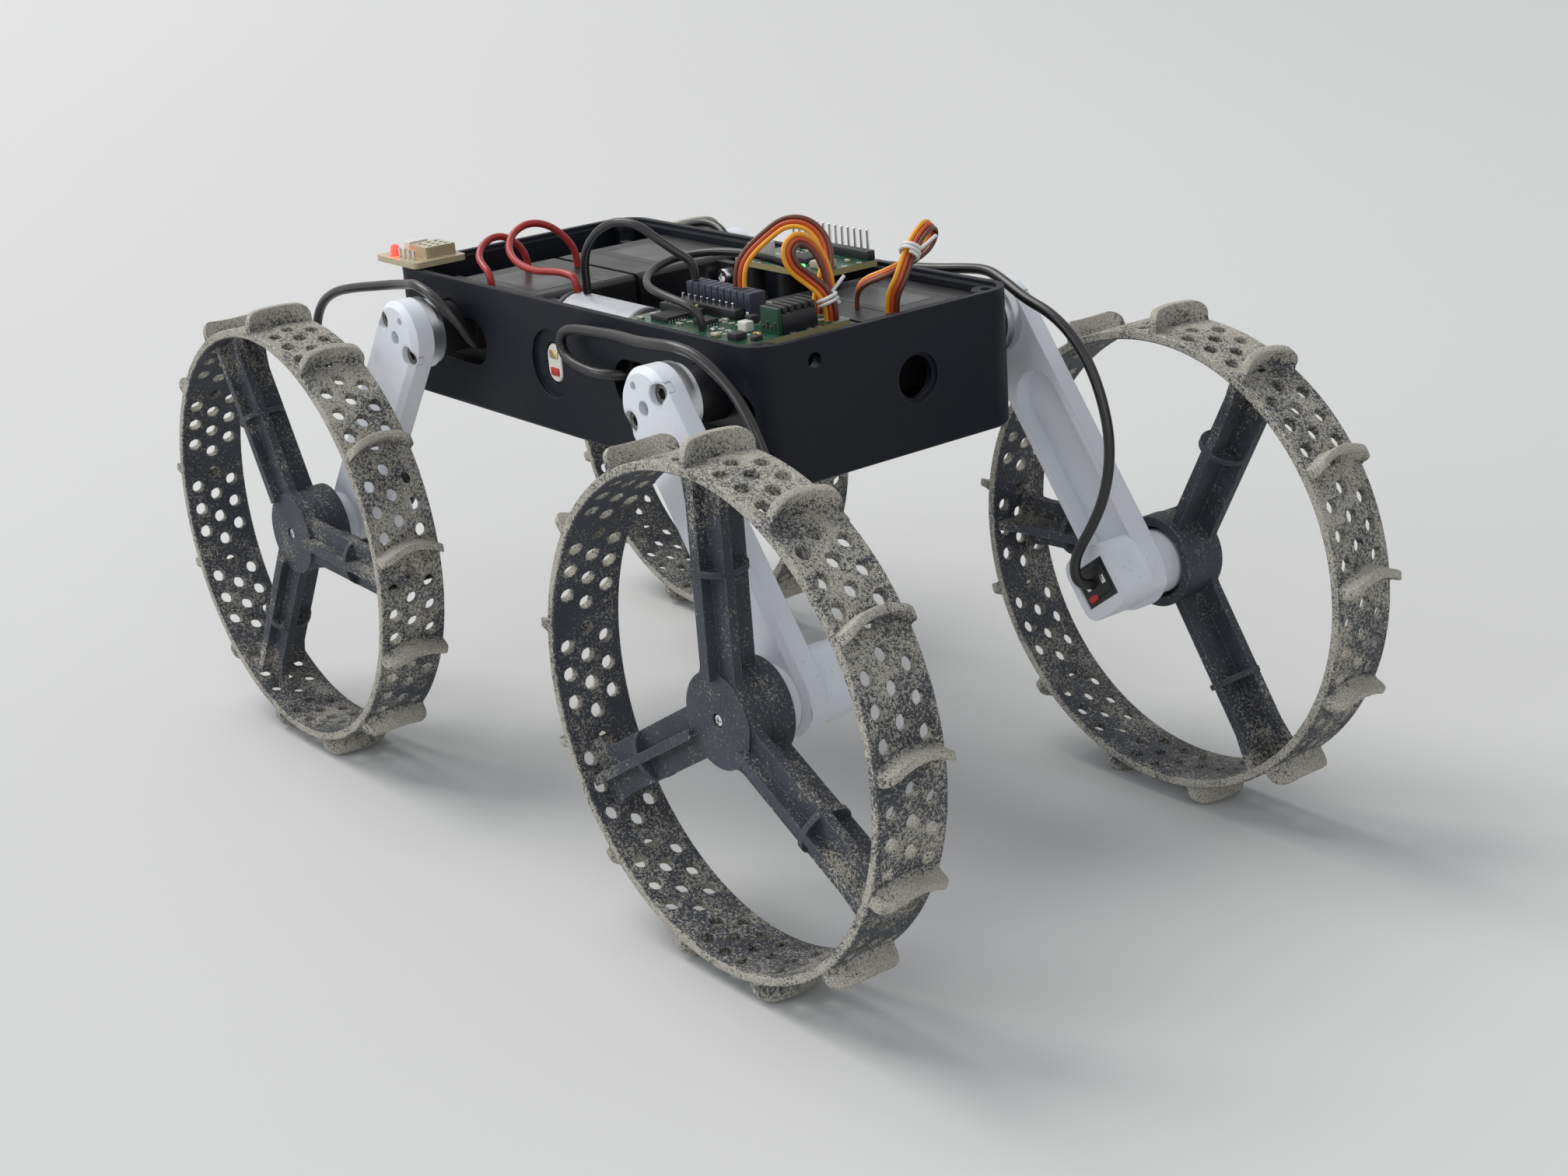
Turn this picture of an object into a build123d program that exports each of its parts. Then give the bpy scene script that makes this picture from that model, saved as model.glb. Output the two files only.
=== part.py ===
"""Planetary rover prototype: an open electronics tray on four swinging legs, each with a
driven plastic wheel with tall lugs.

Frame: origin on the floor under the middle of the four leg pivots, +X forward, +Y left, +Z up.
The rover stands level, with every leg swung 36 degrees outward. Millimetres.
"""
import os
from math import atan2, cos, degrees, hypot, pi, radians, sin, tan

from build123d import *

os.makedirs("parts", exist_ok=True)

# Wheel
RIM_R = 60.0
RIM_WALL = 2.4
RIM_WIDTH = 19.2
LUG_COUNT = 13
LUG_HEIGHT = 5.0
LUG_THICK = 1.8
LUG_BULGE = 3.5
LUG_CORNER = 3.6
LUG_ROOT = 1.0
SPOKE_COUNT = 3
SPOKE_AFTER_LUG = 21.7
SPOKE_THICK = 2.4
SPOKE_WIDTH = 12.4
SPOKE_FOOT_WIDTH = 15.0
SPOKE_FOOT = 9.0
SPOKE_RECESS = 6.0
RIM_BITE = 0.6
HUB_FILLET = 4.0
RIM_FILLET = 3.0
RIB_OUTWARD = 3.0
RIB_INWARD = 7.5
RIB_FOOT_GAP = 1.6
GUSSET_THICK = 1.4
GUSSET_PLACE = 0.52
HUB_R = 11.5
HUB_RECESS = 5.0
HUB_DEPTH = 9.2
CUP_R = 11.8
CUP_WALL = 2.4
CUP_DEPTH = 3.6
HUB_SCREW_R = 1.8
HUB_SCREW_DEPTH = 1.4

# Leg
LEG_LENGTH = 74.1
LEG_THICK = 6.4
LEG_R = 9.8
LEG_CHAMFER = 1.5
CHANNEL_DEPTH = 4.2
CHANNEL_WALL = 2.2
CHANNEL_START = 17.0
BOSS_R = 8.2
BOSS_LENGTH = 7.7
BOSS_ROUND = 1.5
POD_WIDTH = 16.4
POD_HEIGHT = 17.0
POD_LENGTH = 10.4
POD_CORNER_R = 4.0
MOTOR_WIDTH = 12.0
MOTOR_HEIGHT = 10.0
MOTOR_LENGTH = 14.6
MOTOR_FLOOR = 1.6
POD_PLAY = 0.2
SHAFT_R = 1.5
SHAFT_PLAY = 0.06
SHAFT_GRIP = 6.0

# Servo, horn and their screws
SERVO_LENGTH = 40.7
SERVO_WIDTH = 20.0
SERVO_BACK_GAP = 1.4
SERVO_SHAFT_END = 10.3
EAR_LENGTH = 6.9
EAR_THICK = 2.5
EAR_SETBACK = 8.0
EAR_SCREW_R = 1.6
SERVO_BOSS_R = 7.0
SERVO_BOSS_OUT = 7.0
SEAT_GAP = 0.3
HORN_R = 9.6
HORN_THICK = 2.4
HORN_STEP_R = 8.85
SPLINE_R = 2.95
SPLINE_LENGTH = 1.8
SPLINE_PLAY = 0.08
SCREW_SPACING = 14.0
SCREW_R = 1.45
SCREW_HEAD_R = 2.65
SCREW_HEAD = 3.0
SCREW_RECESS_R = 3.0
SCREW_RECESS = 3.4
SCREW_BITE = 3.4
SCREW_PLAY = 0.15
SOCKET_ACROSS = 2.5
SOCKET_DEPTH = 1.6
HORN_ACCESS_R = 1.85
INDEX_HOLE_R = 1.0
INDEX_HOLE_UP = 6.0
INDEX_HOLE_DEPTH = 2.0

# Tray
TRAY_LENGTH = 166.0
TRAY_WIDTH = 82.0
TRAY_HEIGHT = 35.0
TRAY_WALL = 3.0
TRAY_FLOOR = 2.5
TRAY_CORNER_R = 8.5
RIM_STEP = 1.2
POST_R = 3.4
POST_HOLE_R = 1.5
POST_INSET = 5.6
POST_HOLE_DEPTH = 12.0
PIVOT_FROM_FRONT = 20.9
PIVOT_FROM_REAR = 30.3
PIVOT_ABOVE_FLOOR = 21.9
WINDOW_LOW = 12.6
WINDOW_HIGH = 25.0
WINDOW_FRONT = (-38.0, 17.0)
WINDOW_REAR = (-17.0, 17.0)
BOSS_HOLE_PLAY = 0.4
SIDE_SLOT_WIDTH = 7.0
SIDE_SLOT_HEIGHT = 10.8
SIDE_SLOT_X = -9.0
SIDE_SLOT_UP = 18.6
SIDE_RECESS_R = 9.0
SIDE_RECESS_DEPTH = 1.0
FRONT_HOLE_R = 5.35
FRONT_COUNTERBORE_R = 6.25
FRONT_COUNTERBORE = 1.0
FRONT_HOLE_Y = 7.0
FRONT_HOLE_UP = 18.6
PEEP_R = 2.0
PEEP_Y = -24.3
PEEP_UP = 29.3

# Stance
REST_ANGLE = 36.0
WHEEL_GAP = 3.2
LEG_GAP = 4.4

# Places that follow from the sizes above
LUG_PITCH = 360.0 / LUG_COUNT
LUG_TIP_R = RIM_R + LUG_HEIGHT
# The two lowest lugs touch the floor together, one at its middle and one at its ends
BULGE_TIP_R = hypot(LUG_TIP_R, LUG_BULGE + LUG_THICK)
BULGE_ANGLE = degrees(atan2(LUG_BULGE + LUG_THICK, LUG_TIP_R))
FOOT_SPREAD = radians(LUG_PITCH - BULGE_ANGLE)
FOOT_ANGLE = atan2(BULGE_TIP_R / LUG_TIP_R - cos(FOOT_SPREAD), sin(FOOT_SPREAD))
LUG_PHASE = -90.0 + degrees(FOOT_SPREAD - FOOT_ANGLE)
HUB_Z = BULGE_TIP_R * cos(FOOT_ANGLE)
PIVOT_X = (TRAY_LENGTH - PIVOT_FROM_FRONT - PIVOT_FROM_REAR) / 2
TRAY_SHIFT = (PIVOT_FROM_FRONT - PIVOT_FROM_REAR) / 2
PIVOT_Z = HUB_Z + LEG_LENGTH * cos(radians(REST_ANGLE))
HUB_X = PIVOT_X + LEG_LENGTH * sin(radians(REST_ANGLE))
TRAY_Z = PIVOT_Z - PIVOT_ABOVE_FLOOR
TRAY_SIDE = TRAY_WIDTH / 2
TRAY_INSIDE = TRAY_SIDE - TRAY_WALL
SERVO_OUT = TRAY_INSIDE - SEAT_GAP
SERVO_DEPTH = SERVO_OUT - SERVO_BACK_GAP / 2
SERVO_FACE = TRAY_SIDE + SERVO_BOSS_OUT
LEG_IN = SERVO_FACE + LEG_GAP
LEG_OUT = LEG_IN + LEG_THICK
BOSS_END = LEG_OUT + BOSS_LENGTH
WHEEL_IN = LEG_OUT + WHEEL_GAP
WHEEL_OUT = WHEEL_IN + RIM_WIDTH

# Corner name, side of the rover, end of the rover, wheel turned by so many lugs
CORNERS = [
    {"name": "fr", "side": -1, "end": 1, "turn": 1},
    {"name": "rr", "side": -1, "end": -1, "turn": 2},
    {"name": "fl", "side": 1, "end": 1, "turn": 0},
    {"name": "rl", "side": 1, "end": -1, "turn": 1},
]


def tube_along_y(radius, y_from, y_to):
    """A round bar along Y between two distances from the middle plane, on the right side."""
    length = abs(y_to - y_from)
    return Pos(0, -(y_from + y_to) / 2, 0) * (Rot(90, 0, 0) * Cylinder(radius, length))


def lug():
    """One lug: an arched plate across the rim, standing out of it, with cut corners."""
    bottom = RIM_R - LUG_ROOT
    with BuildSketch() as plan:
        with BuildLine():
            near = ThreePointArc((0, 0), (LUG_BULGE, -RIM_WIDTH / 2), (0, -RIM_WIDTH))
            far = ThreePointArc(
                (LUG_THICK, 0), (LUG_BULGE + LUG_THICK, -RIM_WIDTH / 2), (LUG_THICK, -RIM_WIDTH)
            )
            Line(near @ 0, far @ 0)
            Line(near @ 1, far @ 1)
        make_face()
    plate = extrude(plan.sketch, LUG_TIP_R - bottom)
    # Local X of the plan runs round the rim, local Y along the axle, the height outward
    plate = Location((bottom, 0, 0)) * (Plane(
        origin=(0, 0, 0), x_dir=(0, 1, 0), z_dir=(1, 0, 0)) * plate)
    with BuildSketch(Plane.XZ) as side:
        with BuildLine():
            Polyline(
                (bottom - 1, 0),
                (LUG_TIP_R - LUG_CORNER, 0),
                (LUG_TIP_R - LUG_CORNER * 0.35, -LUG_CORNER * 0.35),
                (LUG_TIP_R, -LUG_CORNER),
                (LUG_TIP_R, -RIM_WIDTH + LUG_CORNER),
                (LUG_TIP_R - LUG_CORNER * 0.35, -RIM_WIDTH + LUG_CORNER * 0.35),
                (LUG_TIP_R - LUG_CORNER, -RIM_WIDTH),
                (bottom - 1, -RIM_WIDTH),
                close=True,
            )
        make_face()
    trim = extrude(side.sketch, 20, both=True)
    return plate & trim


def spoke_plan():
    """The outline of hub and spokes, rounded where they meet each other and the rim."""
    inside = RIM_R - RIM_WALL
    foot = inside - SPOKE_FOOT
    with BuildSketch() as arm:
        with BuildLine():
            Polyline(
                (0, -SPOKE_WIDTH / 2),
                (foot, -SPOKE_WIDTH / 2),
                (inside + RIM_BITE, -SPOKE_FOOT_WIDTH / 2),
                (inside + RIM_BITE, SPOKE_FOOT_WIDTH / 2),
                (foot, SPOKE_WIDTH / 2),
                (0, SPOKE_WIDTH / 2),
                close=True,
            )
        make_face()
    plan = Circle(HUB_R) + (Circle(inside + RIM_BITE) - Circle(inside))
    for index in range(SPOKE_COUNT):
        plan += Rot(0, 0, index * 360.0 / SPOKE_COUNT) * arm.sketch
    at_hub = [v for v in plan.vertices() if abs(hypot(v.X, v.Y) - HUB_R) < 0.05]
    plan = fillet(at_hub, HUB_FILLET)
    at_rim = [v for v in plan.vertices() if abs(hypot(v.X, v.Y) - inside) < 0.05]
    return fillet(at_rim, RIM_FILLET)


def spoke_rib():
    """What stands on one spoke along +X: a rib on both faces and a curved web half way."""
    inner = HUB_R - 1.5
    outer = RIM_R - RIM_WALL + RIM_BITE
    blade_z = -SPOKE_RECESS
    foot = RIM_R - RIM_WALL - SPOKE_FOOT
    low = blade_z - SPOKE_THICK
    back = low - RIB_INWARD
    with BuildSketch(Plane.XZ) as rib_side:
        with BuildLine():
            Polyline(
                (inner, blade_z + RIB_OUTWARD),
                (outer, blade_z + RIB_OUTWARD),
                (outer, -RIM_WIDTH + RIB_FOOT_GAP),
                (foot, back),
                (inner, back),
                close=True,
            )
        make_face()
    rib = extrude(rib_side.sketch, SPOKE_THICK / 2, both=True)
    place = inner + (outer - inner) * GUSSET_PLACE
    half = SPOKE_WIDTH / 2
    with BuildSketch(Plane(origin=(place, 0, 0), x_dir=(0, 1, 0), z_dir=(1, 0, 0))) as web:
        with BuildLine():
            Line((-half, low), (half, low))
            ThreePointArc((half, low), (half * 0.7, back + RIB_INWARD * 0.25), (0, back))
            ThreePointArc((0, back), (-half * 0.7, back + RIB_INWARD * 0.25), (-half, low))
        make_face()
        with BuildLine():
            top = blade_z + RIB_OUTWARD
            Line((-half, blade_z), (half, blade_z))
            ThreePointArc((half, blade_z), (half * 0.7, top - RIB_OUTWARD * 0.3), (0, top))
            ThreePointArc((0, top), (-half * 0.7, top - RIB_OUTWARD * 0.3), (-half, blade_z))
        make_face()
    webs = extrude(web.sketch, GUSSET_THICK / 2, both=True)
    return rib + webs


def wheel():
    """The whole wheel about Z, outer face at Z = 0, seen from outside along -Z."""
    rim = Cylinder(RIM_R, RIM_WIDTH) - Cylinder(RIM_R - RIM_WALL, RIM_WIDTH)
    rim = Pos(0, 0, -RIM_WIDTH / 2) * rim
    hub_back = HUB_RECESS + HUB_DEPTH
    top = (Align.CENTER, Align.CENTER, Align.MAX)
    hub = Pos(0, 0, -HUB_RECESS) * Cylinder(HUB_R, HUB_DEPTH, align=top)
    cup = Pos(0, 0, -hub_back + CUP_WALL) * Cylinder(CUP_R, CUP_WALL + CUP_DEPTH, align=top)
    cup_space = Pos(0, 0, -hub_back) * Cylinder(CUP_R - CUP_WALL, CUP_DEPTH, align=top)
    first_spoke = LUG_PHASE + SPOKE_AFTER_LUG
    blades = extrude(Rot(0, 0, first_spoke) * spoke_plan(), SPOKE_THICK)
    body = rim + hub + cup + Pos(0, 0, -SPOKE_RECESS - SPOKE_THICK) * blades
    one_rib = spoke_rib()
    for index in range(SPOKE_COUNT):
        body += Rot(0, 0, first_spoke + index * 360.0 / SPOKE_COUNT) * one_rib
    body -= cup_space
    body -= Pos(0, 0, -hub_back) * Cylinder(
        SHAFT_R + SHAFT_PLAY / 2, SHAFT_GRIP, align=(Align.CENTER, Align.CENTER, Align.MIN))
    body -= Pos(0, 0, -HUB_RECESS) * Cylinder(HUB_SCREW_R, HUB_SCREW_DEPTH, align=top)
    one_lug = lug()
    for index in range(LUG_COUNT):
        body += Rot(0, 0, LUG_PHASE + index * LUG_PITCH) * one_lug
    return body


def leg():
    """A right leg hanging straight down from its pivot at the origin of X and Z."""
    outline = make_hull((Circle(LEG_R) + Pos(0, -LEG_LENGTH) * Circle(LEG_R)).edges())
    # Plane.XZ looks along +Y from the right side, so extruding it goes toward -Y
    body = Pos(0, -LEG_IN, 0) * extrude(Plane.XZ * outline, LEG_THICK)
    body = chamfer(body.faces().sort_by(Axis.Y)[0].edges(), LEG_CHAMFER)
    channel_half = LEG_R - CHANNEL_WALL
    channel = make_hull(
        (Pos(0, -CHANNEL_START - channel_half) * Circle(channel_half)
         + Pos(0, -LEG_LENGTH + POD_HEIGHT / 2 - channel_half) * Circle(channel_half)).edges())
    body -= Pos(0, -LEG_IN, 0) * extrude(Plane.XZ * channel, CHANNEL_DEPTH)
    pod_shape = Pos(0, -LEG_LENGTH) * RectangleRounded(POD_WIDTH, POD_HEIGHT, POD_CORNER_R)
    body += Pos(0, -LEG_IN + POD_LENGTH, 0) * extrude(
        Plane.XZ * pod_shape, POD_LENGTH + LEG_THICK - LEG_CHAMFER)
    boss = Pos(0, 0, -LEG_LENGTH) * tube_along_y(BOSS_R, LEG_OUT - LEG_CHAMFER, BOSS_END)
    body += fillet(boss.edges().sort_by(Axis.Y)[0], BOSS_ROUND)
    motor_end = LEG_OUT - MOTOR_FLOOR
    pocket_from = LEG_IN - POD_LENGTH - 1.0
    body -= Pos(0, -(pocket_from + motor_end) / 2, -LEG_LENGTH) * Box(
        MOTOR_WIDTH + POD_PLAY, motor_end - pocket_from, MOTOR_HEIGHT + POD_PLAY)
    body -= Pos(0, 0, -LEG_LENGTH) * tube_along_y(
        SHAFT_R + SHAFT_PLAY, motor_end - 1.0, BOSS_END + 1.0)
    for across in (-SCREW_SPACING / 2, SCREW_SPACING / 2):
        body -= Pos(across, 0, 0) * tube_along_y(
            SCREW_R + SCREW_PLAY, LEG_IN - 1.0, LEG_OUT + 1.0)
        body -= Pos(across, 0, 0) * tube_along_y(
            SCREW_RECESS_R, LEG_OUT - SCREW_RECESS, LEG_OUT + 1.0)
    body -= tube_along_y(HORN_ACCESS_R, LEG_IN - 1.0, LEG_OUT + 1.0)
    body -= Pos(0, 0, INDEX_HOLE_UP) * tube_along_y(
        INDEX_HOLE_R, LEG_OUT - INDEX_HOLE_DEPTH, LEG_OUT + 1.0)
    return body


def horn():
    """The metal disc between a servo and its leg, with its short splined stub."""
    disc = tube_along_y(HORN_R, LEG_IN - HORN_THICK, LEG_IN)
    step = tube_along_y(HORN_STEP_R, SERVO_FACE + SEAT_GAP, LEG_IN - HORN_THICK)
    stub = tube_along_y(SPLINE_R, SERVO_FACE - SPLINE_LENGTH + SEAT_GAP, LEG_IN - HORN_THICK)
    body = disc + step + stub
    for across in (-SCREW_SPACING / 2, SCREW_SPACING / 2):
        body -= Pos(across, 0, 0) * tube_along_y(
            SCREW_R + SCREW_PLAY / 3, SERVO_FACE, LEG_IN + 1.0)
    body -= tube_along_y(HORN_ACCESS_R - 0.4, SERVO_FACE, LEG_IN + 1.0)
    return body


def horn_screws():
    """The two socket screws that hold a leg to its horn."""
    screws = []
    seat = LEG_OUT - SCREW_RECESS
    for across in (-SCREW_SPACING / 2, SCREW_SPACING / 2):
        screw = tube_along_y(SCREW_HEAD_R, seat, seat + SCREW_HEAD)
        screw += tube_along_y(SCREW_R, LEG_IN - SCREW_BITE, seat)
        socket = extrude(Plane.XZ * RegularPolygon(SOCKET_ACROSS / 2, 6, major_radius=False),
                         SOCKET_DEPTH)
        screw -= Pos(0, -(seat + SCREW_HEAD - SOCKET_DEPTH), 0) * socket
        screws.append(Pos(across, 0, 0) * screw)
    return Compound(children=screws)


def motor():
    """The gear motor in a leg's pod."""
    end = LEG_OUT - MOTOR_FLOOR
    return Pos(0, -(end - MOTOR_LENGTH / 2), -LEG_LENGTH) * Box(
        MOTOR_WIDTH, MOTOR_LENGTH, MOTOR_HEIGHT)


def shaft():
    """The motor's output shaft, which turns with the wheel, on the wheel's axis."""
    hub_back = WHEEL_OUT - HUB_RECESS - HUB_DEPTH
    return tube_along_y(SHAFT_R, LEG_OUT - MOTOR_FLOOR + SEAT_GAP, hub_back + SHAFT_GRIP)


def servo(far_side):
    """A leg servo behind the tray wall, its output at the origin of X and Z.

    far_side is -1 or 1, the way along X that the long end of the case lies.
    """
    middle = far_side * (SERVO_LENGTH / 2 - SERVO_SHAFT_END)
    case = Pos(middle, -(SERVO_OUT - SERVO_DEPTH / 2), 0) * Box(
        SERVO_LENGTH, SERVO_DEPTH, SERVO_WIDTH)
    case = fillet(case.edges().filter_by(Axis.Y), 1.5)
    ear_out = SERVO_OUT - EAR_SETBACK
    ears = Pos(middle, -(ear_out - EAR_THICK / 2), 0) * Box(
        SERVO_LENGTH + 2 * EAR_LENGTH, EAR_THICK, SERVO_WIDTH - 2.0)
    body = case + ears
    for end in (-1, 1):
        reach = SERVO_LENGTH / 2 + EAR_LENGTH / 2 + 0.4
        for up in (-5.0, 5.0):
            body -= Pos(middle + end * reach, 0, up) * tube_along_y(
                EAR_SCREW_R, ear_out - EAR_THICK - 1.0, ear_out + 1.0)
    body += tube_along_y(SERVO_BOSS_R, SERVO_OUT - 1.0, SERVO_FACE)
    body -= tube_along_y(
        SPLINE_R + SPLINE_PLAY, SERVO_FACE - SPLINE_LENGTH, SERVO_FACE + 1.0)
    return body


def rounded_slot(x_from, x_to, z_from, z_to):
    """A slot with round ends through a side wall, as a solid along Y about Y = 0."""
    radius = (z_to - z_from) / 2
    middle = (z_from + z_to) / 2
    shape = make_hull(
        (Pos(x_from + radius, middle) * Circle(radius)
         + Pos(x_to - radius, middle) * Circle(radius)).edges())
    return extrude(Plane.XZ * shape, TRAY_WIDTH, both=True)


def tray():
    """The open tray with its windows, holes and corner posts."""
    low = (Align.CENTER, Align.CENTER, Align.MIN)
    outer = Pos(TRAY_SHIFT, 0, TRAY_Z) * extrude(
        RectangleRounded(TRAY_LENGTH, TRAY_WIDTH, TRAY_CORNER_R), TRAY_HEIGHT)
    inner = Pos(TRAY_SHIFT, 0, TRAY_Z + TRAY_FLOOR) * extrude(
        RectangleRounded(TRAY_LENGTH - 2 * TRAY_WALL, TRAY_WIDTH - 2 * TRAY_WALL,
                         TRAY_CORNER_R - TRAY_WALL), TRAY_HEIGHT)
    step = Pos(TRAY_SHIFT, 0, TRAY_Z + TRAY_HEIGHT - RIM_STEP) * extrude(
        RectangleRounded(TRAY_LENGTH - 2 * TRAY_WALL + 2 * RIM_STEP,
                         TRAY_WIDTH - 2 * TRAY_WALL + 2 * RIM_STEP,
                         TRAY_CORNER_R - TRAY_WALL + RIM_STEP), TRAY_HEIGHT)
    bottom_edges = outer.faces().sort_by(Axis.Z)[0].edges()
    body = fillet(bottom_edges, 1.5)
    body -= inner
    body -= step
    post_x = TRAY_LENGTH / 2 - POST_INSET
    post_y = TRAY_WIDTH / 2 - POST_INSET
    for x in (-post_x, post_x):
        for y in (-post_y, post_y):
            at = Pos(TRAY_SHIFT + x, y, TRAY_Z + 1.0)
            body += at * Cylinder(POST_R, TRAY_HEIGHT - RIM_STEP - 1.0, align=low)
            hole_low = TRAY_Z + TRAY_HEIGHT - RIM_STEP - POST_HOLE_DEPTH
            body -= Pos(TRAY_SHIFT + x, y, hole_low) * Cylinder(POST_HOLE_R, TRAY_HEIGHT, align=low)
    for end, window in ((1, WINDOW_FRONT), (-1, WINDOW_REAR)):
        body -= Pos(end * PIVOT_X, 0, TRAY_Z) * rounded_slot(
            window[0], window[1], WINDOW_LOW, WINDOW_HIGH)
        hole = Rot(90, 0, 0) * Cylinder(SERVO_BOSS_R + BOSS_HOLE_PLAY, TRAY_WIDTH * 2)
        body -= Pos(end * PIVOT_X, 0, PIVOT_Z) * hole
    slot = make_hull(
        (Pos(0, SIDE_SLOT_HEIGHT / 2 - SIDE_SLOT_WIDTH / 2) * Circle(SIDE_SLOT_WIDTH / 2)
         + Pos(0, -SIDE_SLOT_HEIGHT / 2 + SIDE_SLOT_WIDTH / 2)
         * Circle(SIDE_SLOT_WIDTH / 2)).edges())
    slot_at = Pos(SIDE_SLOT_X, 0, TRAY_Z + SIDE_SLOT_UP)
    body -= slot_at * extrude(Plane.XZ * slot, TRAY_WIDTH, both=True)
    for side in (-1, 1):
        dish = Rot(90, 0, 0) * Cylinder(SIDE_RECESS_R, SIDE_RECESS_DEPTH * 2)
        body -= slot_at * Pos(0, side * TRAY_SIDE, 0) * dish
    front_x = TRAY_SHIFT + TRAY_LENGTH / 2
    along = Rot(0, 90, 0)
    body -= Pos(front_x, FRONT_HOLE_Y, TRAY_Z + FRONT_HOLE_UP) * along * Cylinder(
        FRONT_HOLE_R, 4 * TRAY_WALL)
    body -= Pos(front_x, FRONT_HOLE_Y, TRAY_Z + FRONT_HOLE_UP) * along * Cylinder(
        FRONT_COUNTERBORE_R, 2 * FRONT_COUNTERBORE)
    body -= Pos(front_x, PEEP_Y, TRAY_Z + PEEP_UP) * along * Cylinder(PEEP_R, 4 * TRAY_WALL)
    return body


def on_side(piece, corner):
    """The piece as drawn for the right side, or its mirror image for the left side."""
    if corner["side"] < 0:
        return piece
    solids = [mirror(solid, about=Plane.XZ) for solid in piece.solids()]
    return solids[0] if len(solids) == 1 else Compound(children=solids)


def placed_on_leg(piece, corner):
    """A leg's piece, drawn straight down on the right side, at its corner and rest angle."""
    # A positive turn about Y carries a point below the pivot backward
    turned = Rot(0, -corner["end"] * REST_ANGLE, 0) * piece
    return on_side(Pos(corner["end"] * PIVOT_X, 0, PIVOT_Z) * turned, corner)


def placed_on_hub(piece, corner):
    """A wheel's piece, drawn on the right side about Y, at its corner."""
    return on_side(Pos(corner["end"] * HUB_X, 0, HUB_Z) * piece, corner)


def rounded_upright(width, height, length):
    """A bar along X with a section of two half circles one above the other."""
    radius = width / 2
    section = make_hull(
        (Pos(0, height / 2 - radius) * Circle(radius)
         + Pos(0, radius - height / 2) * Circle(radius)).edges())
    return extrude(Plane.YZ * section, length / 2, both=True)


def block(size, at, low):
    """A plain block standing at height low."""
    return Pos(at[0], at[1], low) * Box(*size, align=(Align.CENTER, Align.CENTER, Align.MIN))


def board(size, at, low):
    """A flat circuit board with rounded corners, its underside at height low."""
    plan = RectangleRounded(size[0], size[1], BOARD_CORNER_R)
    return Pos(at[0], at[1], low) * extrude(plan, BOARD_THICK)


def connector_row():
    """The row of plug housings on the main board and the pin header beside it."""
    across = MAIN_BOARD_AT[1]
    housings = block(
        HOUSING_SIZE, (HOUSING_X, across + HOUSING_FROM_MIDDLE), MAIN_BOARD_TOP)
    header = block(
        HEADER_SIZE, (HOUSING_X - HOUSING_SIZE[0] / 2 + HEADER_SIZE[0] / 2,
                      across + HOUSING_FROM_MIDDLE - HOUSING_SIZE[1] / 2
                      - SEAT_GAP - HEADER_SIZE[1] / 2), MAIN_BOARD_TOP)
    return Compound(children=[housings, header])


def board_posts():
    """The four posts that carry the controller board above the tray's floor."""
    floor = TRAY_Z + TRAY_FLOOR
    posts = []
    for x in (CONTROLLER_AT[0] - CONTROLLER_POSTS[0], CONTROLLER_AT[0] - CONTROLLER_POSTS[1]):
        for y in (-CONTROLLER_POST_Y, CONTROLLER_POST_Y):
            post = Cylinder(CONTROLLER_POST_R, CONTROLLER_LOW - floor,
                            align=(Align.CENTER, Align.CENTER, Align.MIN))
            posts.append(Pos(x, CONTROLLER_AT[1] + y, floor) * post)
    return Compound(children=posts)


def indicator_board():
    """The small board on the rear right corner of the rim, with its raised part."""
    rear = TRAY_SHIFT - TRAY_LENGTH / 2
    at = (rear - INDICATOR_OVERHANG + INDICATOR_SIZE[0] / 2,
          -TRAY_SIDE - INDICATOR_SIDE_OVERHANG + INDICATOR_SIZE[1] / 2)
    low = TRAY_Z + TRAY_HEIGHT + SEAT_GAP
    plate = board(INDICATOR_SIZE, at, low)
    return plate + block(
        INDICATOR_PART, (at[0] + 3.0, at[1] + 2.0), low + BOARD_THICK)


def slot_plug():
    """The plug in the right side slot, as wide as the slot less its play."""
    radius = SIDE_SLOT_WIDTH / 2 - SEAT_GAP
    reach = SIDE_SLOT_HEIGHT / 2 - SEAT_GAP - radius
    shape = make_hull(
        (Pos(0, reach) * Circle(radius) + Pos(0, -reach) * Circle(radius)).edges())
    at = Pos(SIDE_SLOT_X, -TRAY_INSIDE + PLUG_INSIDE, TRAY_Z + SIDE_SLOT_UP)
    return at * extrude(Plane.XZ * shape, PLUG_LENGTH)


def tube_along(points, radius):
    """A lead along straight runs joined by arcs as large as their runs allow."""
    spots = [Vector(*point) for point in points]
    runs = [after - before for before, after in zip(spots, spots[1:])]
    turns = [before.get_angle(after) for before, after in zip(runs, runs[1:])]
    radii = [0.45 * min(before.length, after.length) / tan(radians(turn) / 2)
             for before, after, turn in zip(runs, runs[1:], turns)]
    path = FilletPolyline(*spots, radius=radii)
    section = Plane(origin=path @ 0, z_dir=path % 0) * Circle(radius)
    tube = sweep(section, path=path)
    print("  length", round(path.length, 1), "turns", round(max(turns)),
          "radius", round(min(radii), 1), "to", round(max(radii), 1),
          "volume", round(tube.volume / (path.length * pi * radius ** 2), 4))
    return tube


def root_lead(points, corner):
    """The part of a leg's cable that the tray holds, from points (x from the pivot, out, up)."""
    spots = [(corner["end"] * PIVOT_X + x, -(TRAY_SIDE + out), PIVOT_Z + up)
             for x, out, up in points]
    return on_side(tube_along(spots, CABLE_R), corner)


def leg_lead(points, corner):
    """The part of a leg's cable that swings with it, from points (outward, out, down)."""
    spots = [(corner["end"] * outward, -(TRAY_SIDE + out), -down)
             for outward, out, down in points]
    return placed_on_leg(tube_along(spots, CABLE_R), corner)


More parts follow.
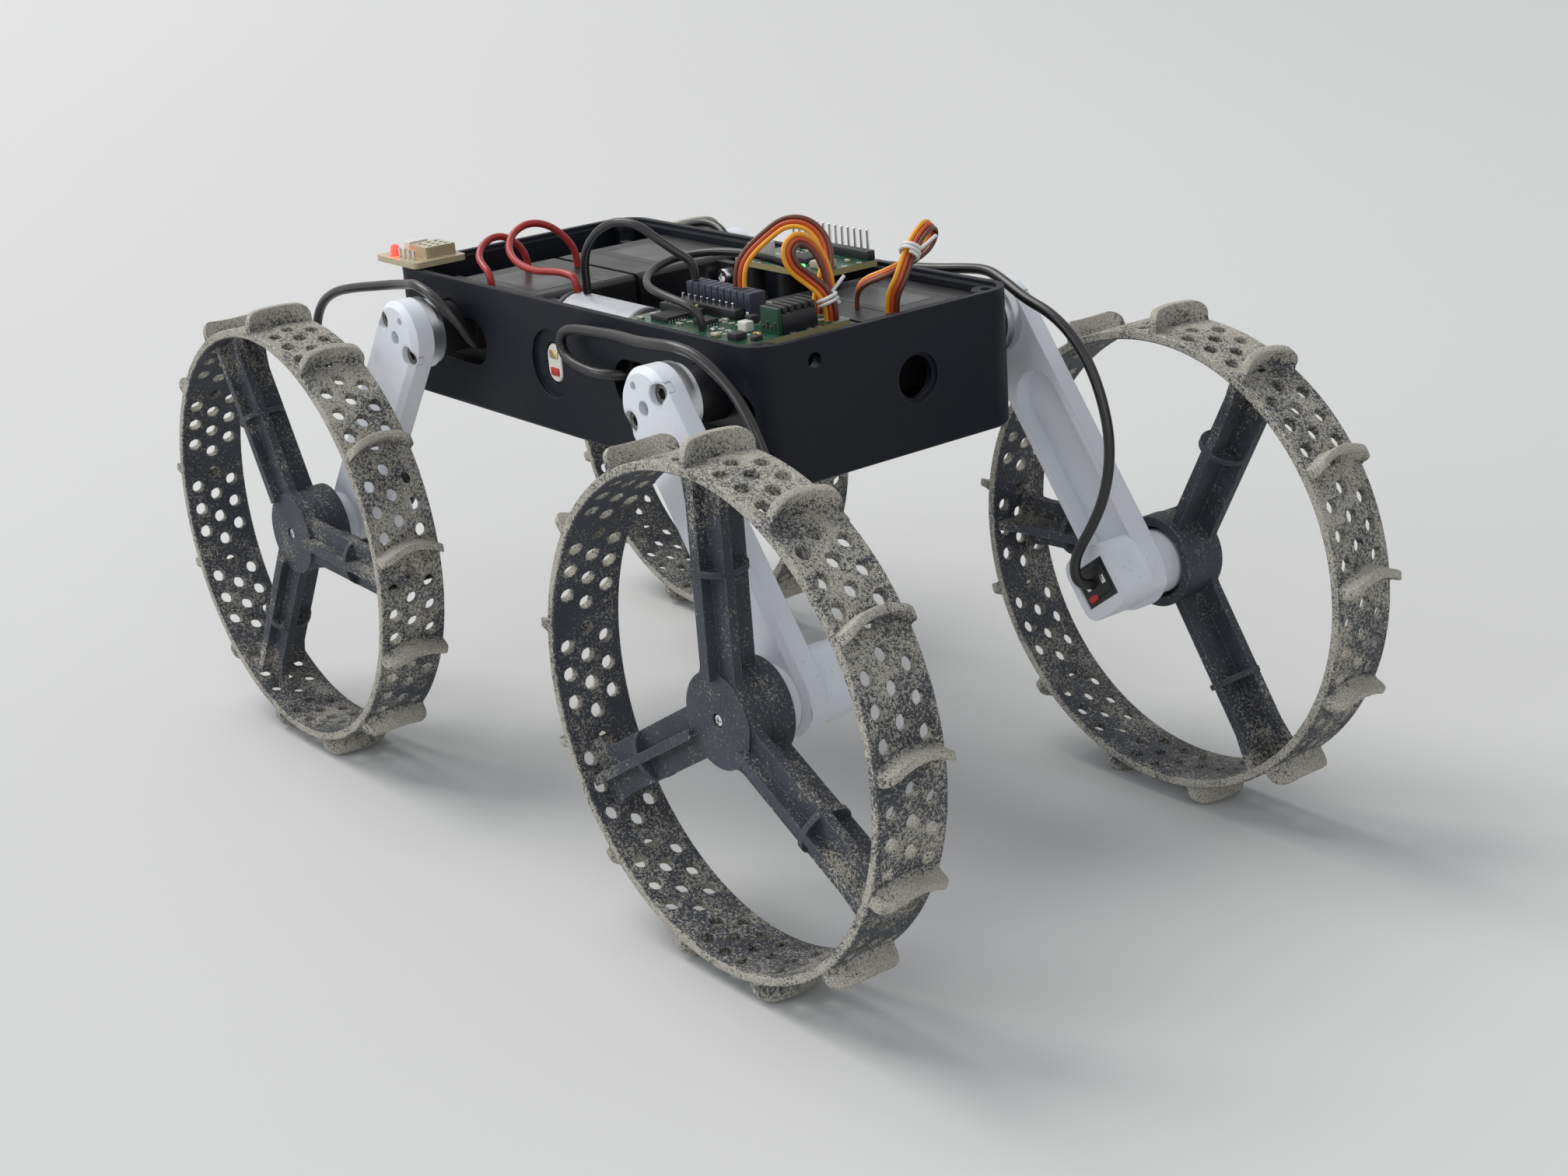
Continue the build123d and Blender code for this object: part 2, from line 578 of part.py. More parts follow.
# Boards, cell and plug
BOARD_THICK = 1.6
BOARD_CORNER_R = 1.5
MAIN_BOARD_SIZE = (47.5, 33.0)
MAIN_BOARD_FROM_POST = 1.3
MAIN_BOARD_FROM_WALL = 1.0
HOUSING_SIZE = (26.0, 5.2, 6.2)
HOUSING_FROM_MIDDLE = 4.1
HOUSING_FROM_EDGE = 1.5
HEADER_SIZE = (24.0, 3.0, 2.5)
DRIVER_SIZE = (7.5, 10.5, 6.4)
DRIVER_FROM_FRONT = 4.75
DRIVER_FROM_MIDDLE = 1.75
CONTROLLER_SIZE = (35.0, 21.0)
CONTROLLER_X = 15.5
CONTROLLER_FROM_WALL = 3.0
CONTROLLER_ABOVE_RIM = 2.0
CONTROLLER_POSTS = (12.5, -0.5)
CONTROLLER_POST_Y = 7.0
CONTROLLER_POST_R = 2.5
CELL_WIDTH = 15.8
CELL_BELOW_RIM = 0.8
CELL_EAR_GAP = 0.8
CELL_BOARD_GAP = 1.2
CELL_REAR_GAP = 3.1
CELL_FROM_WALL = 2.1
INDICATOR_SIZE = (22.0, 16.5)
INDICATOR_OVERHANG = 7.3
INDICATOR_SIDE_OVERHANG = 0.5
INDICATOR_PART = (9.0, 9.0, 3.0)
PLUG_LENGTH = 3.0
PLUG_INSIDE = 0.7

SERVO_TOP = PIVOT_Z + SERVO_WIDTH / 2
MAIN_BOARD_LOW = SERVO_TOP + SEAT_GAP
MAIN_BOARD_TOP = MAIN_BOARD_LOW + BOARD_THICK
FRONT_POST = TRAY_SHIFT + TRAY_LENGTH / 2 - POST_INSET - POST_R
MAIN_BOARD_FRONT = FRONT_POST - MAIN_BOARD_FROM_POST
MAIN_BOARD_AT = (
    MAIN_BOARD_FRONT - MAIN_BOARD_SIZE[0] / 2,
    -TRAY_INSIDE + MAIN_BOARD_FROM_WALL + MAIN_BOARD_SIZE[1] / 2,
)
HOUSING_X = (MAIN_BOARD_FRONT - MAIN_BOARD_SIZE[0] + HOUSING_FROM_EDGE
             + HOUSING_SIZE[0] / 2)
DRIVER_AT = (MAIN_BOARD_FRONT - DRIVER_FROM_FRONT, MAIN_BOARD_AT[1] + DRIVER_FROM_MIDDLE)
CONTROLLER_LOW = TRAY_Z + TRAY_HEIGHT + CONTROLLER_ABOVE_RIM - BOARD_THICK
CONTROLLER_AT = (CONTROLLER_X, TRAY_INSIDE - CONTROLLER_FROM_WALL - CONTROLLER_SIZE[1] / 2)
EAR_REACH = PIVOT_X - (SERVO_LENGTH - SERVO_SHAFT_END) - EAR_LENGTH
MAIN_BOARD_REAR = MAIN_BOARD_FRONT - MAIN_BOARD_SIZE[0]
CELL_FRONT = min(EAR_REACH - CELL_EAR_GAP, MAIN_BOARD_REAR - CELL_BOARD_GAP)
CELL_REAR = -EAR_REACH + CELL_REAR_GAP
CELL_HEIGHT = TRAY_HEIGHT - TRAY_FLOOR - SEAT_GAP - CELL_BELOW_RIM
CELL_Y = -TRAY_INSIDE + CELL_FROM_WALL + CELL_WIDTH / 2

# Routes of the leads. Root leads are measured from their pivot: x, out from the tray's side, up
CABLE_R = 1.35
ROOT_FRONT = [
    (-33.6, -11.0, -2.4), (-33.6, -7.2, -2.2), (-33.9, -2.8, -1.8), (-35.6, 1.4, -1.2),
    (-39.6, 3.7, -0.8), (-45.2, 4.0, -0.3), (-49.8, 3.9, 0.4), (-52.8, 3.9, 1.5),
    (-54.7, 3.9, 3.4), (-54.7, 3.9, 6.1), (-52.8, 3.9, 8.0), (-49.4, 3.9, 9.0),
    (-43.6, 4.0, 9.6), (-35.6, 4.3, 10.1), (-27.2, 4.9, 10.7), (-16.8, 6.8, 11.2),
    (-7.4, 8.1, 12.2), (1.1, 8.4, 12.9), (8.1, 8.4, 10.6), (12.4, 8.3, 6.5),
]
ROOT_REAR = [
    (10.6, -3.0, -4.2), (10.9, -0.9, -4.0), (11.4, 1.3, -2.2), (11.6, 3.2, 0.8),
    (10.4, 5.4, 4.6), (7.4, 7.2, 8.4), (2.4, 8.3, 11.4), (-3.6, 8.5, 12.2),
    (-9.0, 8.4, 10.6), (-13.2, 8.3, 7.6),
]
# Leg leads are measured from the pivot, with the leg straight down: outward, out, down
LEG_END = [
    (1.2, -2.7, 67.2), (-0.6, -3.3, 70.6), (-1.4, -1.9, 73.2), (-1.2, 1.3, 73.9),
]
LEG_BOW = [
    (13.6, 5.3, -1.0), (19.0, 5.4, 4.0), (24.2, 5.5, 10.5), (27.6, 5.5, 18.5),
    (28.6, 5.4, 27.5), (27.4, 5.0, 36.5), (24.6, 4.4, 45.0), (20.4, 3.4, 52.0),
    (15.0, 1.8, 58.0), (9.4, -0.2, 62.2), (4.8, -1.8, 64.8),
]
LEG_LONG_BOW = [
    (15.2, 5.3, -1.5), (21.5, 5.8, 3.5), (29.0, 6.4, 11.0), (37.0, 7.0, 19.0),
    (44.5, 7.2, 27.5), (49.3, 7.2, 36.5), (49.5, 7.0, 46.0), (45.5, 6.4, 54.5),
    (38.5, 5.2, 60.8), (30.0, 3.4, 64.6), (21.0, 1.0, 66.4), (12.6, -1.4, 66.6),
    (6.0, -2.5, 66.4),
]
LEG_CLOSE = [
    (13.6, 5.3, -1.0), (17.2, 5.6, 5.5), (19.0, 5.8, 14.0), (18.6, 5.9, 23.0),
    (16.6, 5.8, 32.0), (13.6, 5.3, 41.0), (10.2, 4.2, 49.5), (7.0, 2.2, 56.5),
    (4.0, -0.6, 62.4),
]
LEADS = [
    {"name": "servo_lead_a", "radius": 1.4, "route": [
        (66.2, -8.8, 135.95), (66.2, -8.8, 139.6), (64.6, -9.6, 143.2), (62.2, -12.2, 146.2),
        (60.6, -15.4, 149.4), (60.2, -16.2, 153.6), (60.8, -13.6, 156.2), (61.6, -10.0, 154.4),
        (62.2, -7.4, 150.4), (62.6, -6.0, 145.4), (62.8, -5.8, 140.4), (62.8, -5.8, 135.95)]},
    {"name": "servo_lead_b", "radius": 1.4, "route": [
        (58.6, -6.4, 135.95), (58.6, -6.4, 139.8), (57.8, -3.6, 143.8), (56.0, -0.6, 148.2),
        (53.2, 0.4, 153.0), (49.6, -1.6, 156.6), (45.6, -5.2, 156.8), (42.8, -8.8, 153.6),
        (41.2, -13.0, 150.4), (40.8, -16.2, 146.6), (40.8, -16.2, 142.15)]},
    {"name": "servo_lead_c", "radius": 1.4, "route": [
        (66.0, 10.4, 134.05), (66.0, 10.4, 138.0), (67.8, 12.0, 142.2), (67.4, 14.6, 146.6),
        (66.0, 19.0, 150.6), (65.0, 24.2, 153.6), (63.4, 27.6, 151.4), (62.2, 26.4, 147.2),
        (61.8, 21.6, 144.8), (62.0, 16.4, 143.6), (60.8, 12.0, 142.4), (57.6, 9.6, 141.0),
        (54.2, 9.2, 138.2), (54.2, 9.2, 134.05)]},
    {"name": "black_lead_arch", "radius": 1.1, "route": [
        (-9.0, -28.0, 136.3), (-9.0, -28.0, 139.8), (-7.6, -29.0, 144.4), (-4.6, -29.8, 149.2),
        (0.4, -29.6, 153.8), (6.8, -28.2, 156.8), (12.8, -26.0, 156.4), (17.2, -23.4, 152.8),
        (20.8, -20.0, 149.0), (23.6, -17.0, 146.2), (23.6, -17.0, 142.15)]},
    {"name": "black_lead_loop", "radius": 1.0, "route": [
        (47.0, -33.0, 135.95), (47.0, -33.0, 139.2), (43.4, -34.2, 141.6), (38.0, -35.0, 142.6),
        (31.2, -34.6, 143.2), (24.4, -32.4, 143.6), (18.6, -28.2, 144.2), (14.6, -22.6, 145.0),
        (14.4, -16.6, 146.2), (18.6, -11.6, 147.2), (25.0, -8.6, 147.8), (32.0, -5.6, 147.4),
        (38.6, -1.8, 145.6), (43.4, 2.8, 142.4), (46.4, 7.4, 138.2), (46.4, 7.4, 134.05)]},
    {"name": "red_lead_long", "radius": 1.0, "route": [
        (-50.5, -3.5, 134.05), (-50.5, -3.5, 138.2), (-51.6, -6.0, 142.6), (-53.4, -10.0, 146.4),
        (-55.0, -15.0, 147.6), (-55.0, -20.0, 146.0), (-51.6, -24.4, 143.4), (-45.6, -27.4, 141.4),
        (-38.0, -29.2, 140.2), (-30.2, -29.8, 139.8), (-23.0, -29.0, 140.5), (-18.0, -28.4, 140.6),
        (-13.6, -28.0, 139.8), (-13.6, -28.0, 136.3)]},
    {"name": "red_lead_short", "radius": 1.0, "route": [
        (-58.5, -14.5, 134.05), (-58.5, -14.5, 137.6), (-59.4, -16.4, 141.4), (-60.4, -20.0, 144.2),
        (-60.4, -24.4, 144.4), (-59.0, -28.6, 142.6), (-55.6, -31.6, 140.6), (-51.0, -33.0, 139.2),
        (-47.6, -33.2, 137.4), (-47.6, -33.2, 134.05)]},
]
LEG_ROUTES = {"fr": LEG_CLOSE + LEG_END, "rr": LEG_LONG_BOW + LEG_END,
              "fl": LEG_BOW + LEG_END, "rl": LEG_BOW + LEG_END}

parts = {"tray": tray()}
parts["main_board"] = board(MAIN_BOARD_SIZE, MAIN_BOARD_AT, MAIN_BOARD_LOW)
parts["connector_row"] = connector_row()
parts["driver_module"] = block(DRIVER_SIZE, DRIVER_AT, MAIN_BOARD_TOP)
parts["controller_board"] = board(CONTROLLER_SIZE, CONTROLLER_AT, CONTROLLER_LOW)
parts["board_posts"] = board_posts()
cell_low = TRAY_Z + TRAY_FLOOR + SEAT_GAP
cell = rounded_upright(CELL_WIDTH, CELL_HEIGHT, CELL_FRONT - CELL_REAR)
parts["battery_cell"] = Pos(
    (CELL_FRONT + CELL_REAR) / 2, CELL_Y, cell_low + CELL_HEIGHT / 2) * cell
parts["indicator_board"] = indicator_board()
parts["slot_plug"] = slot_plug()
for lead in LEADS:
    parts[lead["name"]] = tube_along(lead["route"], lead["radius"])

one_leg = leg()
one_wheel = wheel()
for corner in CORNERS:
    name = corner["name"]
    parts["leg_" + name] = placed_on_leg(one_leg, corner)
    parts["horn_" + name] = placed_on_leg(horn(), corner)
    parts["horn_screws_" + name] = placed_on_leg(horn_screws(), corner)
    parts["wheel_motor_" + name] = placed_on_leg(motor(), corner)
    turned = Rot(90, 0, 0) * Rot(0, 0, corner["turn"] * LUG_PITCH) * one_wheel
    parts["wheel_" + name] = placed_on_hub(Pos(0, -WHEEL_OUT, 0) * turned, corner)
    parts["wheel_shaft_" + name] = placed_on_hub(shaft(), corner)
    at_pivot = Pos(corner["end"] * PIVOT_X, 0, PIVOT_Z) * servo(-corner["end"])
    parts["servo_" + name] = on_side(at_pivot, corner)
    root = ROOT_FRONT if corner["end"] > 0 else ROOT_REAR
    parts["cable_root_" + name] = root_lead(root, corner)
    parts["cable_" + name] = leg_lead(LEG_ROUTES[name], corner)

for name, shape in parts.items():
    export_step(shape, "parts/" + name + ".step")
    box = shape.bounding_box()
    print(name, len(shape.solids()), round(shape.volume, 1), box.min, box.max)
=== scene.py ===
"""A small planetary rover prototype, dressed for its studio picture.

An open black tray of electronics stands on four white printed legs, and each leg carries a
perforated wheel with tall arched lugs. Everything is in metres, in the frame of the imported
model: origin on the floor under the middle of the four leg pivots, +X forward, +Y left, +Z up.
"""

import logging
import math
from dataclasses import dataclass
from enum import Enum
from functools import cache
from typing import Callable, Dict, Iterable, List, Optional, Sequence, Tuple

import bmesh
import bpy
from mathutils import Matrix, Vector

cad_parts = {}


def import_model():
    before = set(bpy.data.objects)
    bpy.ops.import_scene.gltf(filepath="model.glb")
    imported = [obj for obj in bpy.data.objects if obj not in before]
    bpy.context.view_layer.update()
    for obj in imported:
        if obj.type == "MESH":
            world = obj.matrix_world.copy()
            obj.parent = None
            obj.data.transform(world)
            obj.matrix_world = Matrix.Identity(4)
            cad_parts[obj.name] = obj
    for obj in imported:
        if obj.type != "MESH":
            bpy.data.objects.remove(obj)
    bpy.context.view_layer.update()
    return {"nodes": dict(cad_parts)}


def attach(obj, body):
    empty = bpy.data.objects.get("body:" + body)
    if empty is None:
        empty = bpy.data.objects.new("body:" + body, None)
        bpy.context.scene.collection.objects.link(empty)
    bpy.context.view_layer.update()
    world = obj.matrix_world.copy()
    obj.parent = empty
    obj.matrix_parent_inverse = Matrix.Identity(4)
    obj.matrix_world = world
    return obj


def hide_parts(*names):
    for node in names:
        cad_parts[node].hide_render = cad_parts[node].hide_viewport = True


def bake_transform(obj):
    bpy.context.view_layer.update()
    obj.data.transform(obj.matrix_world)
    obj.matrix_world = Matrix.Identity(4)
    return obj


LOG = logging.getLogger("rover")
Colour = Tuple[float, float, float]
Point = Tuple[float, float, float]
Socket = bpy.types.NodeSocket
Node = bpy.types.Node
NodeTree = bpy.types.NodeTree
Piece = bpy.types.Object
Vert = bmesh.types.BMVert
Face = bmesh.types.BMFace
Spot = Callable[[float, float, float], Vert]
MM = 0.001


class Corner(Enum):
    """The four corners of the rover: name, side (-1 right, 1 left), end (1 front, -1 rear)."""

    FRONT_RIGHT = ("fr", "front_right", -1, 1)
    REAR_RIGHT = ("rr", "rear_right", -1, -1)
    FRONT_LEFT = ("fl", "front_left", 1, 1)
    REAR_LEFT = ("rl", "rear_left", 1, -1)

    @property
    def tag(self) -> str:
        """The short name that the corner's pieces end in."""
        return self.value[0]

    @property
    def leg_body(self) -> str:
        """The body that swings about the corner's pivot."""
        return "leg_" + self.value[1]

    @property
    def wheel_body(self) -> str:
        """The body that turns with the corner's wheel."""
        return "wheel_" + self.value[1]

    @property
    def side(self) -> int:
        """-1 on the right side of the rover and 1 on the left."""
        return self.value[2]

    @property
    def end(self) -> int:
        """1 at the front of the rover and -1 at the rear."""
        return self.value[3]


# Shader sheets


class ShaderSheet:
    """A node tree that is written from left to right, with short calls for its nodes."""

    def __init__(self, tree: NodeTree) -> None:
        """Start on an empty tree.

        Args:
            tree: The node tree to fill.
        """
        self.tree = tree
        self.column = 0

    def node(self, kind: str, values: Optional[dict] = None, **settings: object) -> Node:
        """Add one node.

        Args:
            kind: Blender's name for the node type.
            values: Input socket names or numbers, each with a number, colour or output socket.
            **settings: Properties of the node, such as operation or blend_type.

        Returns:
            The new node.
        """
        made = self.tree.nodes.new(kind)
        made.location = (self.column * 190, 0)
        self.column += 1
        for name, value in settings.items():
            setattr(made, name, value)
        for name, value in (values or {}).items():
            self.feed(made.inputs[name], value)
        return made

    def feed(self, socket: Socket, value: object) -> None:
        """Give a socket a value, or link an output to it.

        Args:
            socket: The input socket.
            value: A number, a colour, or an output socket.
        """
        if isinstance(value, Socket):
            self.tree.links.new(value, socket)
        elif socket.type == "RGBA" and len(value) == 3:
            socket.default_value = (*value, 1.0)
        else:
            socket.default_value = value

    def math(self, operation: str, *values: object, clamp: bool = False) -> Socket:
        """Add a Math node and return its output.

        Args:
            operation: Blender's name for the operation.
            *values: The node's inputs in order.
            clamp: Whether the result stays between 0 and 1.

        Returns:
            The node's output socket.
        """
        made = self.node("ShaderNodeMath", operation=operation, use_clamp=clamp)
        for index, value in enumerate(values):
            self.feed(made.inputs[index], value)
        return made.outputs[0]

    def mix(self, factor: object, first: object, second: object,
            blend: str = "MIX") -> Socket:
        """Mix two colours.

        Args:
            factor: How much of the second colour there is.
            first: The first colour.
            second: The second colour.
            blend: Blender's name for the blend type.

        Returns:
            The mixed colour.
        """
        made = self.node("ShaderNodeMix", data_type="RGBA", blend_type=blend)
        self.feed(made.inputs[0], factor)
        self.feed(made.inputs[6], first)
        self.feed(made.inputs[7], second)
        return made.outputs[2]

    def span(self, value: object, low: float, high: float, to_low: float = 0.0,
             to_high: float = 1.0) -> Socket:
        """Map a range of values to another one, smoothly and clamped.

        Args:
            value: The socket to map.
            low: Where the range starts.
            high: Where the range ends.
            to_low: What low becomes.
            to_high: What high becomes.

        Returns:
            The mapped value.
        """
        made = self.node("ShaderNodeMapRange", interpolation_type="SMOOTHSTEP", clamp=True)
        for index, part in enumerate((value, low, high, to_low, to_high)):
            self.feed(made.inputs[index], part)
        return made.outputs[0]

    def noise(self, place: object, scale: object, detail: float = 2.0,
              rough: float = 0.5) -> Socket:
        """Add a Noise Texture and return its value.

        Args:
            place: The coordinates.
            scale: The texture's scale, in cycles to the metre.
            detail: How many finer layers it has.
            rough: How strong the finer layers are.

        Returns:
            The noise, about 0.5 on average.
        """
        made = self.node("ShaderNodeTexNoise", {
            "Vector": place, "Scale": scale, "Detail": detail, "Roughness": rough})
        return made.outputs["Fac"]

    def object_place(self) -> Socket:
        """The Object coordinates of the surface."""
        return self.node("ShaderNodeTexCoord").outputs["Object"]

    def grey(self, value: object) -> Socket:
        """A colour with the same value in all three channels."""
        return self.node("ShaderNodeCombineColor", {
            "Red": value, "Green": value, "Blue": value}).outputs[0]

    def group(self, tree: NodeTree, values: Dict[str, object]) -> Node:
        """Add a node group and give its inputs their values."""
        return self.node("ShaderNodeGroup", values, node_tree=tree)


def effect_group(name: str, inputs: Sequence[Tuple[str, str, object]],
                 outputs: Sequence[Tuple[str, str]]) -> Tuple[ShaderSheet, object, object]:
    """Begin a shader node group with named sockets.

    Args:
        name: The group's name.
        inputs: Name, socket type and default of each input.
        outputs: Name and socket type of each output.

    Returns:
        The sheet to fill, the node of the group's inputs and the node of its outputs.
    """
    tree = bpy.data.node_groups.new(name, "ShaderNodeTree")
    for label, kind, default in inputs:
        socket = tree.interface.new_socket(label, in_out="INPUT", socket_type=kind)
        socket.default_value = default
    for label, kind in outputs:
        tree.interface.new_socket(label, in_out="OUTPUT", socket_type=kind)
    sheet = ShaderSheet(tree)
    source = tree.nodes.new("NodeGroupInput")
    source.location = (-240, 0)
    sink = tree.nodes.new("NodeGroupOutput")
    return sheet, source.outputs, sink.inputs


FLOAT = "NodeSocketFloat"
COLOUR = "NodeSocketColor"
VECTOR = "NodeSocketVector"


class Effects:
    """The shader node groups that several finishes share, each built once."""

    @staticmethod
    @cache
    def fine_grain() -> NodeTree:
        """Moulded or printed plastic: cloudy colour, small specks and a fine height.

        Returns:
            The group's tree.
        """
        sheet, given, out = effect_group("Plastic grain", [
            ("Color", COLOUR, (0.5, 0.5, 0.5, 1)), ("Scale", FLOAT, 900.0),
            ("Variation", FLOAT, 0.2), ("Roughness", FLOAT, 0.5)],
            [("Color", COLOUR), ("Roughness", FLOAT), ("Height", FLOAT)])
        place = sheet.object_place()
        fine = sheet.noise(place, given["Scale"], 3.0, 0.65)
        cloud = sheet.noise(place, sheet.math("MULTIPLY", given["Scale"], 0.045), 3.0, 0.55)
        light = sheet.math("ADD", sheet.math("MULTIPLY", sheet.math(
            "SUBTRACT", fine, 0.5), 0.7), sheet.math("SUBTRACT", cloud, 0.5))
        gain = sheet.math("ADD", 1.0, sheet.math("MULTIPLY", light, sheet.math(
            "MULTIPLY", given["Variation"], 2.6)))
        sheet.feed(out["Color"], sheet.mix(1.0, given["Color"], sheet.grey(gain), "MULTIPLY"))
        sheet.feed(out["Roughness"], sheet.math("ADD", given["Roughness"], sheet.math(
            "MULTIPLY", sheet.math("SUBTRACT", cloud, 0.5), 0.35), clamp=True))
        sheet.feed(out["Height"], fine)
        return sheet.tree

    @staticmethod
    @cache
    def print_layers() -> NodeTree:
        """The lines that a layer printer leaves, along one direction of the piece.

        Returns:
            The group's tree.
        """
        sheet, given, out = effect_group("Print layers", [
            ("Direction", VECTOR, (0, 0, 1)), ("Layer", FLOAT, 0.0003),
            ("Wobble", FLOAT, 0.15)],
            [("Height", FLOAT)])
        place = sheet.object_place()
        along = sheet.node("ShaderNodeVectorMath", {
            0: place, 1: given["Direction"]}, operation="DOT_PRODUCT").outputs["Value"]
        turns = sheet.math("DIVIDE", along, given["Layer"])
        shake = sheet.math("MULTIPLY", sheet.noise(place, 60.0, 2.0), given["Wobble"])
        wave = sheet.math("SINE", sheet.math("MULTIPLY", sheet.math(
            "ADD", turns, shake), 2 * math.pi))
        sheet.feed(out["Height"], sheet.math("MULTIPLY_ADD", wave, 0.5, 0.5))
        return sheet.tree

    @staticmethod
    @cache
    def dust_cover() -> NodeTree:
        """Fine ground dust that lies in patches and specks, thicker where Amount is high.

        Returns:
            The group's tree.
        """
        sheet, given, out = effect_group("Dust cover", [
            ("Color", COLOUR, (0.1, 0.1, 0.1, 1)), ("Dust", COLOUR, (0.42, 0.40, 0.36, 1)),
            ("Amount", FLOAT, 0.5), ("Scale", FLOAT, 420.0), ("Roughness", FLOAT, 0.6),
            ("Upward", FLOAT, 0.3)],
            [("Color", COLOUR), ("Roughness", FLOAT), ("Height", FLOAT)])
        place = sheet.object_place()
        up = sheet.node("ShaderNodeSeparateXYZ", {
            "Vector": sheet.node("ShaderNodeNewGeometry").outputs["Normal"]}).outputs["Z"]
        lift = sheet.math("MULTIPLY", up, given["Upward"])
        patch = sheet.noise(place, sheet.math("MULTIPLY", given["Scale"], 0.16), 4.0, 0.6)
        speck = sheet.noise(place, sheet.math("MULTIPLY", given["Scale"], 2.6), 3.0, 0.75)
        grain = sheet.noise(place, sheet.math("MULTIPLY", given["Scale"], 7.0), 2.0, 0.6)
        mixed = sheet.math("ADD", sheet.math("MULTIPLY", patch, 0.25), sheet.math(
            "ADD", sheet.math("MULTIPLY", speck, 0.45), sheet.math("MULTIPLY", grain, 0.30)))
        amount = sheet.math("MULTIPLY_ADD", lift, 0.5, given["Amount"])
        limit = sheet.math("MULTIPLY_ADD", amount, -0.22, 0.61)
        mask = sheet.span(sheet.math("SUBTRACT", mixed, limit), -0.03, 0.035)
        shade = sheet.math("MULTIPLY_ADD", grain, 0.75, 0.60)
        dusty = sheet.mix(1.0, given["Dust"], sheet.grey(shade), "MULTIPLY")
        sheet.feed(out["Color"], sheet.mix(mask, given["Color"], dusty))
        sheet.feed(out["Roughness"], sheet.math("ADD", given["Roughness"], sheet.math(
            "MULTIPLY", mask, 0.4), clamp=True))
        sheet.feed(out["Height"], sheet.math("MULTIPLY", mask, sheet.math(
            "MULTIPLY_ADD", grain, 0.8, 0.3)))
        return sheet.tree

    @staticmethod
    @cache
    def edge_wear() -> NodeTree:
        """Rubbed edges: a broken mask along them, and the normal of their small rounding.

        Returns:
            The group's tree.
        """
        sheet, given, out = effect_group("Edge wear", [
            ("Radius", FLOAT, 0.0005), ("Amount", FLOAT, 0.5)],
            [("Mask", FLOAT), ("Normal", VECTOR)])
        soft = sheet.node("ShaderNodeBevel", {"Radius": given["Radius"]},
                          samples=4).outputs["Normal"]
        flat = sheet.node("ShaderNodeNewGeometry").outputs["Normal"]
        along = sheet.node("ShaderNodeVectorMath", {0: soft, 1: flat},
                           operation="DOT_PRODUCT").outputs["Value"]
        edge = sheet.span(sheet.math("SUBTRACT", 1.0, along), 0.01, 0.14)
        broken = sheet.span(sheet.noise(sheet.object_place(), 320.0, 4.0, 0.7), 0.36, 0.62,
                            0.15, 1.0)
        sheet.feed(out["Mask"], sheet.math("MULTIPLY", sheet.math(
            "MULTIPLY", edge, broken), given["Amount"]))
        sheet.feed(out["Normal"], soft)
        return sheet.tree


@dataclass(frozen=True)
class Finish:
    """A finish that makes its material once and keeps it."""

    name: str
    colour: Colour

    @cache
    def material(self) -> bpy.types.Material:
        """Make the finish's material, or give the one of the first call.

        Returns:
            The material.
        """
        made = bpy.data.materials.new(self.name)
        made.use_nodes = True
        made.node_tree.nodes.clear()
        sheet = ShaderSheet(made.node_tree)
        shader = self.shade(sheet)
        end = made.node_tree.nodes.new("ShaderNodeOutputMaterial")
        end.location = (sheet.column * 190, 0)
        made.node_tree.links.new(shader.outputs[0], end.inputs["Surface"])
        return made

    def shade(self, sheet: ShaderSheet) -> Node:
        """Write the material's nodes.

        Args:
            sheet: The sheet of its tree.

        Returns:
            Its shader.
        """
        raise NotImplementedError


def bump(sheet: ShaderSheet, height: object, strength: float, distance: float,
         base: Optional[Socket] = None) -> Socket:
    """Turn a height into a normal.

    Args:
        sheet: The material's sheet.
        height: The height, from 0 to 1.
        strength: How much of it shows.
        distance: The height of 1, in metres.
        base: The normal that it is added to, or nothing for the surface's own.

    Returns:
        The normal for a shader.
    """
    values = {"Strength": strength, "Distance": distance, "Height": height}
    if base is not None:
        values["Normal"] = base
    return sheet.node("ShaderNodeBump", values).outputs["Normal"]


@dataclass(frozen=True)
class PrintedPlastic(Finish):
    """Layer-printed plastic, with grain, faint layer lines and a little dust."""

    dust: Colour = (0.50, 0.48, 0.45)
    rough: float = 0.5
    variation: float = 0.12
    layer: float = 0.0003
    direction: Point = (0.0, 0.0, 1.0)
    line_depth: float = 0.00003
    dust_amount: float = 0.12
    upward: float = 0.3
    specular: float = 0.5
    wear: float = 0.4
    worn: Colour = (0.5, 0.5, 0.5)
    corner: float = 0.0005

    def shade(self, sheet: ShaderSheet) -> Node:
        """Write the material's nodes.

        Args:
            sheet: The sheet of its tree.

        Returns:
            Its shader.
        """
        grain = sheet.group(Effects.fine_grain(), {
            "Color": self.colour, "Variation": self.variation, "Roughness": self.rough})
        layers = sheet.group(Effects.print_layers(), {
            "Direction": self.direction, "Layer": self.layer})
        edges = sheet.group(Effects.edge_wear(), {"Radius": self.corner, "Amount": self.wear})
        dust = sheet.group(Effects.dust_cover(), {
            "Color": sheet.mix(edges.outputs["Mask"], grain.outputs["Color"], self.worn),
            "Dust": self.dust, "Roughness": grain.outputs["Roughness"],
            "Amount": self.dust_amount, "Upward": self.upward})
        height = sheet.math("MULTIPLY_ADD", grain.outputs["Height"], 0.35,
                            layers.outputs["Height"])
        normal = bump(sheet, height, 0.6, self.line_depth, edges.outputs["Normal"])
        return sheet.node("ShaderNodeBsdfPrincipled", {
            "Base Color": dust.outputs["Color"], "Roughness": dust.outputs["Roughness"],
            "Normal": normal, "Specular IOR Level": self.specular})


